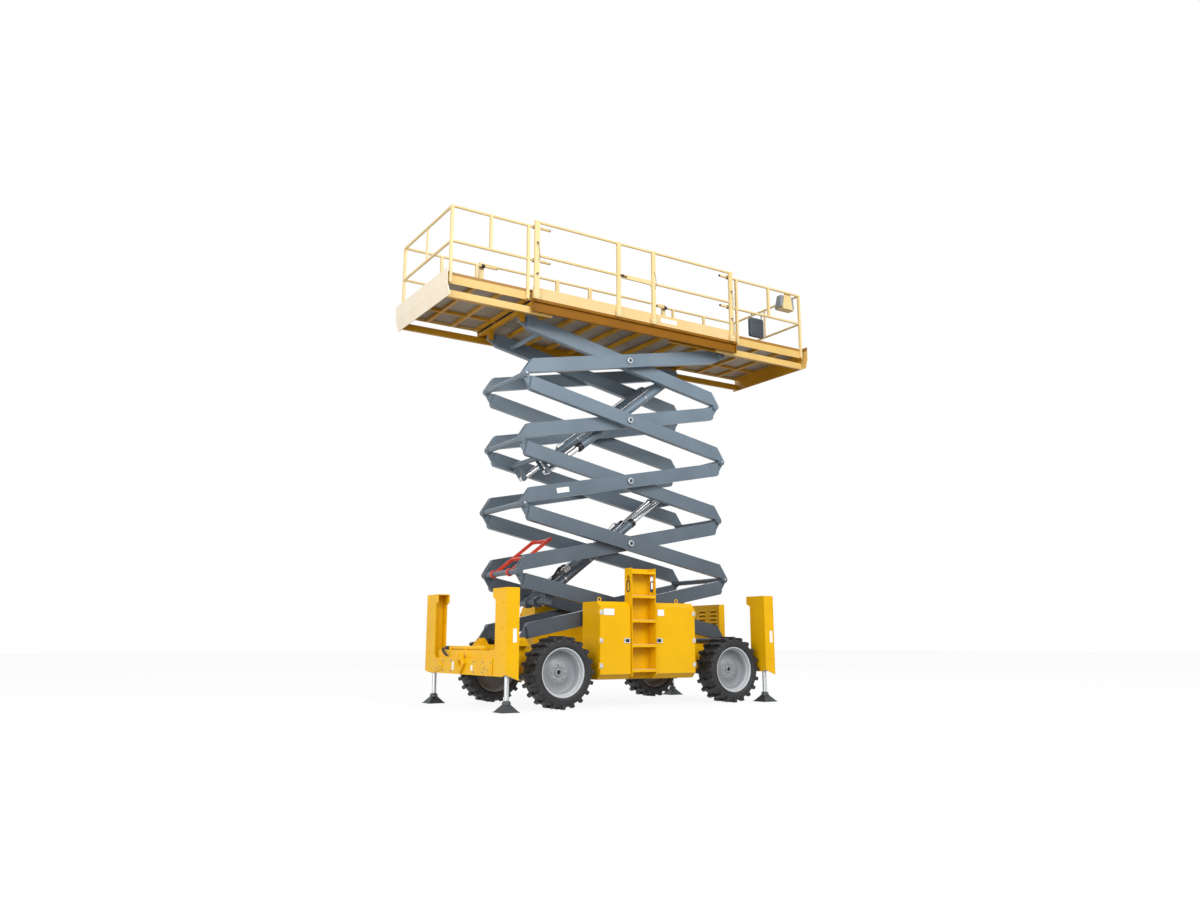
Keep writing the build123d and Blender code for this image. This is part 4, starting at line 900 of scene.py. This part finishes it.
guideShape = railGuide()
pinShape = lockPin()
pieces = []
for flip in (-1, 1):
    for x in railing["deckPosts"]:
        for z in railing["slideZ"]:
            pieces.append(placed(guideShape, (x, flip * railing["slideY"], z), onSide(flip)))
        for z in railing["pinHeights"]:
            pieces.append(placed(pinShape, (x, flip * railing["postFace"], z), onSide(flip)))
    for x in railing["allPosts"]:
        shoe = block((x, flip * (railing["postFace"] + 0.0015), railing["shoeHeight"]), (0.094, 0.006, 0.090))
        shapeSide(shoe, (0, flip, 0), inset=0.006)
        pieces.append(paint(soften(shoe, 0.002), "railPaintedLight"))
        pieces.append(boltsAt([(x + dx, flip * (railing["postFace"] + 0.0045), railing["shoeHeight"] + dz)
                               for dx in (-0.03, 0.03) for dz in (-0.028, 0.028)], (0, flip, 0), 0.008))
fit(joined(pieces), "railFittings_deck", "platform")
discard(guideShape, pinShape)

lanyardPlaces = ((-1.905, -0.931, 6.352), (0.108, -0.931, 6.36), (1.632, -0.931, 6.352),
                 (1.632, -0.931, 5.892))
cords = [hose([(x, y, z), (x + 0.030, y - 0.006, z - 0.09), (x + 0.036, y - 0.004, z - 0.20),
               (x + 0.018, y + 0.001, z - 0.27)], 0.0022) for x, y, z in lanyardPlaces]
fit(paint(joined(cords), "gloss"), "pinLanyards_deck", "platform")

latchBar = Vector((-0.466, -0.9215, 6.1747))
hook = lathe([(0, 0), (0, 0.020), (0.016, 0.020), (0.020, 0.016), (0.020, 0)], latchBar, toRight, 28)
tongue = block(latchBar + Vector((-0.022, -0.008, 0.004)), (0.056, 0.010, 0.022))
shapeSide(tongue, astern, resize=(1, 1, 0.5))
lever = block(latchBar + Vector((0.040, -0.014, -0.004)), (0.070, 0.008, 0.020))
shapeSide(lever, ahead, resize=(1, 1, 0.55), move=(0, -0.006, -0.006))
catch = joined([hook, soften(tongue, 0.002), soften(lever, 0.002)])
fit(paint(catch, "gloss"), "gateLatch", "gate")

deckPlate = {"size": (0.30, 0.066), "place": (0.40, -0.8905, 5.632)}
plate = plateShape(*deckPlate["size"])
plate.data.transform(Matrix.Translation(deckPlate["place"]))
fit(plate, "blankPlate_deck", "platform")

# folded end plates of the main deck
endPlates = {"ends": (-1.944, 1.736), "top": 5.700, "low": 5.356, "inner": 0.873, "outer": 0.905,
             "thick": 0.010, "boltY": 0.884, "bolts": (5.42, 5.60)}
middleY = (endPlates["inner"] + endPlates["outer"]) / 2
middleZ = (endPlates["top"] + endPlates["low"]) / 2
plateSize = (endPlates["thick"], endPlates["outer"] - endPlates["inner"], endPlates["top"] - endPlates["low"])
pieces = []
for x in endPlates["ends"]:
    away = math.copysign(1, x)
    for flip in (-1, 1):
        plate = block((x, flip * middleY, middleZ), plateSize)
        shapeSide(plate, down, resize=(1, 0.55, 1), move=(0, -flip * 0.010, 0))
        pieces.append(paint(soften(plate, 0.002), "deckPaint"))
        pieces.append(boltsAt([(x + away * endPlates["thick"] / 2, flip * endPlates["boltY"], z)
                               for z in endPlates["bolts"]], (away, 0, 0), 0.010))
fit(joined(pieces), "deckEndPlates", "platform")
print("platform fittings made")

# control box and manual box on the front extension

control = {"rear": 2.790, "front": 3.120, "outer": -0.8287, "inner": -0.6587, "low": 6.350, "high": 6.590,
           "backTop": 6.628, "clips": 6.622}
wide = control["front"] - control["rear"]
deep = control["inner"] - control["outer"]
tall = control["high"] - control["low"]
midX = (control["rear"] + control["front"]) / 2
midY = (control["outer"] + control["inner"]) / 2
topZ = control["high"] - 0.020
shell = block((midX, midY, control["low"] + 0.008 + tall / 2), (wide - 0.03, deep - 0.012, tall - 0.03))
shapeSide(shell, up, resize=(0.94, 0.62, 1), move=(0, -0.024, 0), inset=0.010, sink=(0, 0, -0.006))
shapeSide(shell, down, inset=0.016, sink=(0, 0, 0.006))
shell = paint(soften(shell, 0.007, 3), "boxGrey")
stick = lathe([(0, 0), (0, 0.022), (0.006, 0.022), (0.012, 0.012), (0.016, 0.008), (0.045, 0.007),
               (0.050, 0.014), (0.058, 0.017), (0.066, 0.014), (0.070, 0)],
              (midX + 0.075, midY - 0.022, topZ - 0.030), up, 28)
stopKnob = lathe([(0, 0), (0, 0.012), (0.012, 0.012), (0.014, 0.020), (0.022, 0.020), (0.026, 0.015),
                  (0.027, 0)], (midX - 0.070, midY - 0.022, topZ - 0.012), up, 28)
buttons = [lathe([(0, 0), (0, 0.009), (0.005, 0.009), (0.007, 0.007), (0.007, 0)],
                 (midX - 0.025 + column * 0.026, midY - 0.034, topZ - 0.008), up, 20) for column in range(3)]
faceKeys = [lathe([(0, 0), (0, 0.011), (0.004, 0.011), (0.010, 0.006), (0.010, 0)],
                  (midX - 0.09 + column * 0.06, control["inner"] - 0.016, control["low"] + 0.11),
                  (0, 1, 0.16), 20)
            for column in range(4)]
tray = block((midX, midY - 0.004, control["low"] + 0.004), (wide - 0.012, deep - 0.020, 0.006))
backPlate = block((midX, control["outer"] + 0.004, (control["low"] + control["backTop"]) / 2),
                  (wide - 0.10, 0.006, control["backTop"] - control["low"]))
shapeSide(backPlate, up, resize=(0.6, 1, 1))
holder = [soften(tray, 0.0015, 1), soften(backPlate, 0.0015, 1)]
for x in (midX - 0.062, midX + 0.062):
    clip = block((x, control["outer"] + 0.002, control["clips"]), (0.034, 0.014, 0.014))
    holder.append(soften(clip, 0.003))
pieces = [shell, paint(joined([stick] + buttons + faceKeys), "gloss"), paint(stopKnob, "propRed"),
          paint(joined(holder), "railPaintedLight")]
fit(joined(pieces), "controlBox", "front_deck", replaces=["control_box"])

manual = {"rear": 2.100, "front": 2.390, "outer": -0.8287, "inner": -0.7787, "low": 5.735, "high": 6.050,
          "corner": 0.034, "lidDrop": 0.075, "strapInset": 0.040, "hookHeight": 6.122}
wide = manual["front"] - manual["rear"]
centre = Vector((manual["rear"] + manual["front"], manual["outer"] + manual["inner"],
                 manual["low"] + manual["high"])) / 2
can = block(centre, (wide, manual["inner"] - manual["outer"], manual["high"] - manual["low"]))
work(can, "EDGE")
rest()
for edge in can.data.edges:
    start, stop = [can.data.vertices[number].co for number in edge.vertices]
    edge.select = abs(start.x - stop.x) < 1e-6 and abs(start.z - stop.z) < 1e-6
bpy.ops.object.mode_set(mode="EDIT")
bpy.ops.mesh.bevel(offset=manual["corner"], segments=6)
rest()
pickFaces(can, lambda centre, normal: normal.y > 0.9)
bpy.ops.mesh.inset(thickness=0.012)
bpy.ops.mesh.extrude_region_move(TRANSFORM_OT_translate={"value": (0, -0.004, 0)})
bpy.ops.mesh.inset(thickness=0.006)
bpy.ops.transform.translate(value=(0, 0.004, 0))
rest()
can = paint(soften(can, 0.003), "slatePlastic")
lid = block((centre.x, centre.y, manual["high"] - manual["lidDrop"]), (wide + 0.003, 0.0525, 0.006))
lid = paint(soften(lid, 0.0015, 1), "gloss")
straps = []
strapY = manual["outer"] + 0.004
for x in (manual["rear"] + manual["strapInset"], manual["front"] - manual["strapInset"]):
    straps.append(soften(block((x, strapY, manual["hookHeight"] - 0.036), (0.030, 0.006, 0.086)), 0.0015, 1))
    hookEnds = [(x + reach, strapY, manual["hookHeight"]) for reach in (-0.014, 0.014)]
    straps.append(rod(*hookEnds, 0.005))
fit(joined([can, lid, paint(joined(straps), "boltSteel")]), "manualBox", "front_deck",
    replaces=["manual_box"])
print("boxes on the front rails made")

# cowl: pressed lips over the louvre slots and a bolted edge

cowl = {"face": 1.795, "columns": (-0.090, 0.185, 0.460), "topRow": 1.320, "pitch": 0.062, "rows": 4,
        "wide": 0.148, "boltsY": (-0.205, 0.575), "boltsZ": (0.80, 1.10, 1.40)}
lip = block((-0.006, 0, 0.019), (0.012, cowl["wide"] + 0.014, 0.016))
shapeSide(lip, up, resize=(0.25, 0.94, 1), move=(0.0045, 0, 0.004))
lip = paint(soften(lip, 0.0028, 3, 20), "machineYellow")
lips = [placed(lip, (cowl["face"], y, cowl["topRow"] - row * cowl["pitch"]))
        for y in cowl["columns"] for row in range(cowl["rows"])]
lips.append(boltsAt([(cowl["face"], y, z) for y in cowl["boltsY"] for z in cowl["boltsZ"]], astern, 0.009))
fit(joined(lips), "cowlLouvres", "chassis")
discard(lip)
print("cowl dressed")

# lift cylinders: glands, end rings, ports, pipes

cylinder = {"spread": {"lower": 0.130, "upper": 0.350}, "barrel": 2.05, "radius": 0.062, "foot": 0.060,
            "ports": (0.16, 1.93), "bands": (0.55, 1.05, 1.55), "pipe": 0.0075,
            "pipeRoute": ((0.16, 0.092), (0.20, 0.102), (0.30, 0.080), (1.0, 0.076), (1.79, 0.080),
                          (1.89, 0.102), (1.93, 0.092))}
slideAxis = {joint["name"]: Vector(joint["axis"]).normalized() for joint in frame["joints"]}
for name, spread in cylinder["spread"].items():
    pivot = jointPlace[f"{name}_cylinder_pivot"]
    run = slideAxis[f"{name}_cylinder_slide"]
    if (nodes[f"{name}_cylinder_rods"].data.vertices[0].co - pivot).dot(run) < 0:
        run = -run
    lift = run.cross(Vector(toLeft)).normalized()
    if lift.z < 0:
        lift = -lift
    pieces = []
    for y in (-spread, spread):
        base = Vector((pivot.x, y, pivot.z))
        gland = lathe([(-0.075, 0.0625), (-0.072, 0.0665), (-0.004, 0.0665), (0, 0.063), (0.004, 0.056),
                       (0.004, 0.0425), (-0.010, 0.0425), (-0.010, 0.0625)],
                      base + run * cylinder["barrel"], run, 40)
        weld = lathe([(-0.010, 0.0620), (-0.004, 0.066), (0.006, 0.066), (0.012, 0.0620)],
                     base + run * cylinder["foot"], run, 40)
        pieces += [paint(gland, "gloss"), paint(weld, "armSlate")]
        for along in cylinder["ports"]:
            port = lathe([(0, 0), (0, 0.020), (0.018, 0.020), (0.020, 0.018), (0.020, 0)],
                         base + run * along + lift * (cylinder["radius"] - 0.004), lift, 24)
            elbow = hexBolt(base + run * along + lift * (cylinder["radius"] + 0.014), lift, 0.014)
            pieces += [paint(port, "armSlate"), elbow]
        route = [base + run * along + lift * off for along, off in cylinder["pipeRoute"]]
        pieces.append(paint(hose(route, cylinder["pipe"]), "boltSteel"))
        for along in cylinder["bands"]:
            band = lathe([(-0.009, 0.0618), (-0.009, 0.0650), (0.009, 0.0650), (0.009, 0.0618)],
                         base + run * along, run, 32)
            pieces.append(paint(band, "boltSteel"))
    fit(joined(pieces), f"cylinderFittings_{name}", f"{name}_barrels")

valveBlock = {"along": 0.66, "y": -0.130, "size": (0.12, 0.075, 0.062), "above": 0.094, "outlets": 0.125,
              "hose": 0.0095, "taps": ((-0.035, 0.022), (0.0, -0.022), (0.035, 0.018))}
pivot = jointPlace["lower_cylinder_pivot"]
run = slideAxis["lower_cylinder_slide"]
if run.x < 0:
    run = -run
lift = Vector((-run.z, 0, run.x))
base = Vector((pivot.x, valveBlock["y"], pivot.z))
seat = base + run * valveBlock["along"]
body = block(origin, valveBlock["size"])
shapeSide(body, up, inset=0.012, sink=(0, 0, 0.004))
body = paint(soften(body, 0.003), "boltSteel")
body.data.transform(Matrix.Translation(seat + lift * valveBlock["above"])
                    @ Matrix.Rotation(-math.atan2(run.z, run.x), 4, toLeft))
pieces, hoses = [body], []
for number, (shift, sideways) in enumerate(valveBlock["taps"]):
    outlet = seat + run * shift + lift * valveBlock["outlets"] + Vector((0, sideways, 0))
    pieces.append(hexBolt(outlet - lift * 0.006, lift, 0.014, "chrome"))
    pieces.append(paint(rod(outlet, outlet + lift * 0.030, valveBlock["hose"]), "chrome"))
    start = outlet + lift * 0.026
    hoses.append(hose([start, start + lift * 0.040 - run * (0.02 + number * 0.012),
                       seat - run * (0.14 + number * 0.03) + lift * (0.150 - number * 0.018)
                       + Vector((0, sideways * 2.2, 0)),
                       seat - run * (0.30 + number * 0.02) + lift * 0.100 + Vector((0, sideways * 1.8, 0)),
                       base + run * (0.20 + number * 0.05) + lift * 0.074 + Vector((0, sideways * 1.3, 0))],
                      valveBlock["hose"]))
fit(joined(pieces), "valveBlock_lower", "lower_barrels")
fit(paint(joined(hoses), "gloss"), "liftHoses_lower", "lower_barrels")
print("cylinders dressed")

# arms: top cross tube and end doublers

stay = {"along": -1.42, "across": -0.02, "half": 0.456, "radius": 0.040, "collarY": 0.452}
ends = [onArm(5, -1, stay["along"], stay["across"], y) for y in (-stay["half"], stay["half"])]
pieces = [paint(rod(*ends, stay["radius"], 32), "armSlate")]
for flip in (-1, 1):
    collar = lathe([(0, 0.040), (0, 0.052), (0.010, 0.052), (0.016, 0.042), (0.016, 0.040)],
                   onArm(5, -1, stay["along"], stay["across"], flip * stay["collarY"]), (0, -flip, 0), 32)
    pieces.append(paint(collar, "armSlate"))
fit(joined(pieces), "topStay_inner_5", "scissor_inner_5")

shoe = {"start": 0.250, "taper": 0.130, "thick": 0.0045, "half": 0.097, "armHalf": 0.100, "nose": 0.0364,
        "face": 0.6465, "forkStop": 0.036, "tongueStop": 0.105}


def endShoe(end, rising, stop):
    # doubler plate on an arm's end, from its start to a stop short of the pin, cut to the arm's taper
    back = end * (armHalf - shoe["taper"])
    first = end * (armHalf - shoe["start"])
    plate = block(((first + back) / 2, 0, 0), (abs(back - first), shoe["thick"], shoe["half"] * 2))
    run = shoe["taper"] - stop
    cut = run / (shoe["taper"] + shoe["nose"]) * (cornerOffset - shoe["nose"] + shoe["armHalf"])
    pickFaces(plate, lambda centre, normal: normal.x * end > 0.9)
    bpy.ops.mesh.extrude_region_move(TRANSFORM_OT_translate={"value": (end * run, 0, end * rising * cut / 2)})
    bpy.ops.transform.resize(value=(1, 1, 1 - cut / (2 * shoe["half"])))
    rest()
    return paint(soften(plate, 0.0018, 1), "armSlate")


for level in range(1, 6):
    rising = 1 if level % 2 else -1
    plates = []
    for end in (-1,) if level == 5 else (-1, 1):
        forked = level > 1 and end == -rising
        shape = endShoe(end, rising, shoe["forkStop"] if forked else shoe["tongueStop"])
        plates += [placed(shape, onArm(level, rising, 0, 0, y), Matrix.Rotation(-rising * lean, 4, toLeft))
                   for y in (-shoe["face"], shoe["face"])]
        discard(shape)
    fit(joined(plates), f"endShoes_outer_{level}", f"scissor_outer_{level}")
print("arms dressed")

# steering: ball joint boots and nuts on the tie rod

low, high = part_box("tie_rod")
ballJoint = {"inFromEnd": 0.016, "sleeveShift": 0.05}
pieces = []
for flip in (-1, 1):
    middle = Vector(((low.x + high.x) / 2, flip * (high.y - ballJoint["inFromEnd"]), (low.z + high.z) / 2))
    boot = lathe([(0.010, 0), (0.010, 0.022), (0.016, 0.026), (0.022, 0.020), (0.026, 0.023), (0.030, 0.017),
                  (0.034, 0)], middle, up, 28)
    sleeve = lathe([(-0.060, 0.0185), (-0.058, 0.024), (-0.022, 0.024), (-0.020, 0.0185)],
                   middle - Vector((0, flip * ballJoint["sleeveShift"], 0)), (0, flip, 0), 24)
    pieces += [paint(boot, "tyreRubber"), paint(sleeve, "boltSteel")]
fit(joined(pieces), "ballJoints_tieRod", "tie_rod")
print("steering dressed")

# rear beam: gussets, bracket rim, blank plates, cross tube and its hoses

beam = {"face": -2.460, "low": 0.440, "high": 0.655, "gusset": (0.655, 0.915), "thick": 0.010,
        "bolts": ((0.70, 0.52), (0.80, 0.50), (0.87, 0.60)), "eyeHeight": 0.575, "diamond": 0.134,
        "hole": 0.0566, "plates": ((0.30, 0.535, 0.060, 0.115), (-0.30, 0.520, 0.055, 0.070))}
pieces = []
inner, outer = beam["gusset"]
for flip in (-1, 1):
    gusset = block((beam["face"] - beam["thick"] / 2, flip * (inner + outer) / 2,
                    (beam["low"] + beam["high"]) / 2),
                   (beam["thick"], outer - inner, beam["high"] - beam["low"]))
    shapeSide(gusset, (0, -flip, 0), resize=(1, 1, 0.42), move=(0, 0, -0.030))
    pieces.append(paint(soften(gusset, 0.002), "machineYellow"))
    places = [(beam["face"] - beam["thick"], flip * y, z) for y, z in beam["bolts"]]
    pieces.append(boltsAt(places, astern, 0.012))
eye = Vector((beam["face"], 0, beam["eyeHeight"]))
for wide, narrow, proud in ((beam["diamond"], beam["diamond"] - 0.014, 0.042),
                            (beam["hole"] + 0.012, beam["hole"], 0.041)):
    edge = lathe([(0.0355, wide), (proud, wide - 0.003), (proud, narrow + 0.003), (0.0355, narrow)],
                 eye, astern, 4)
    edge.data.transform(turn(math.pi / 4, ahead, eye))
    pieces.append(paint(edge, "machineYellow"))
for y, z, wide, tall in beam["plates"]:
    plate = plateShape(wide, tall)
    plate.data.transform(Matrix.Translation((beam["face"], y, z)) @ turn(-math.pi / 2, up))
    pieces.append(plate)
fit(joined(pieces), "beamGussets_rear", "chassis")

crossTube = {"x": -2.385, "z": 0.776, "half": 0.56, "radius": 0.026, "saddles": (-0.50, 0.0, 0.50),
             "blockY": 0.625, "taps": (0.600, 0.628, 0.654), "tapReach": 0.032, "hose": 0.006}
tubeX, tubeZ = crossTube["x"], crossTube["z"]
tube = rod((tubeX, -crossTube["half"], tubeZ), (tubeX, crossTube["half"], tubeZ), crossTube["radius"], 28)
pieces = [paint(tube, "machineYellow")]
for y in crossTube["saddles"]:
    saddle = block((tubeX, y, tubeZ - 0.012), (0.074, 0.030, 0.034))
    shapeSide(saddle, up, resize=(0.8, 1, 1))
    pieces.append(paint(soften(saddle, 0.002), "machineYellow"))
tapBlock = block((tubeX - 0.004, crossTube["blockY"], tubeZ - 0.002), (0.060, 0.085, 0.048))
shapeSide(tapBlock, up, inset=0.008, sink=(0, 0, 0.003))
pieces.append(paint(soften(tapBlock, 0.002), "gloss"))
hoses = []
for number, y in enumerate(crossTube["taps"]):
    outlet = Vector((tubeX - crossTube["tapReach"], y, tubeZ))
    pieces.append(hexBolt(outlet, astern, 0.010, "chrome"))
    route = ((-0.006, 0, 0), (-0.034, 0, 0), (-0.046, 0.02, -0.02), (-0.044, number * 0.02 - 0.05, -0.075),
             (-0.030, -0.10, -0.110))
    hoses.append(hose([outlet + Vector(step) for step in route], crossTube["hose"]))
fit(joined(pieces), "beamTube_rear", "chassis")
fit(paint(joined(hoses), "gloss"), "beamHoses_rear", "chassis")
print("rear beam dressed")
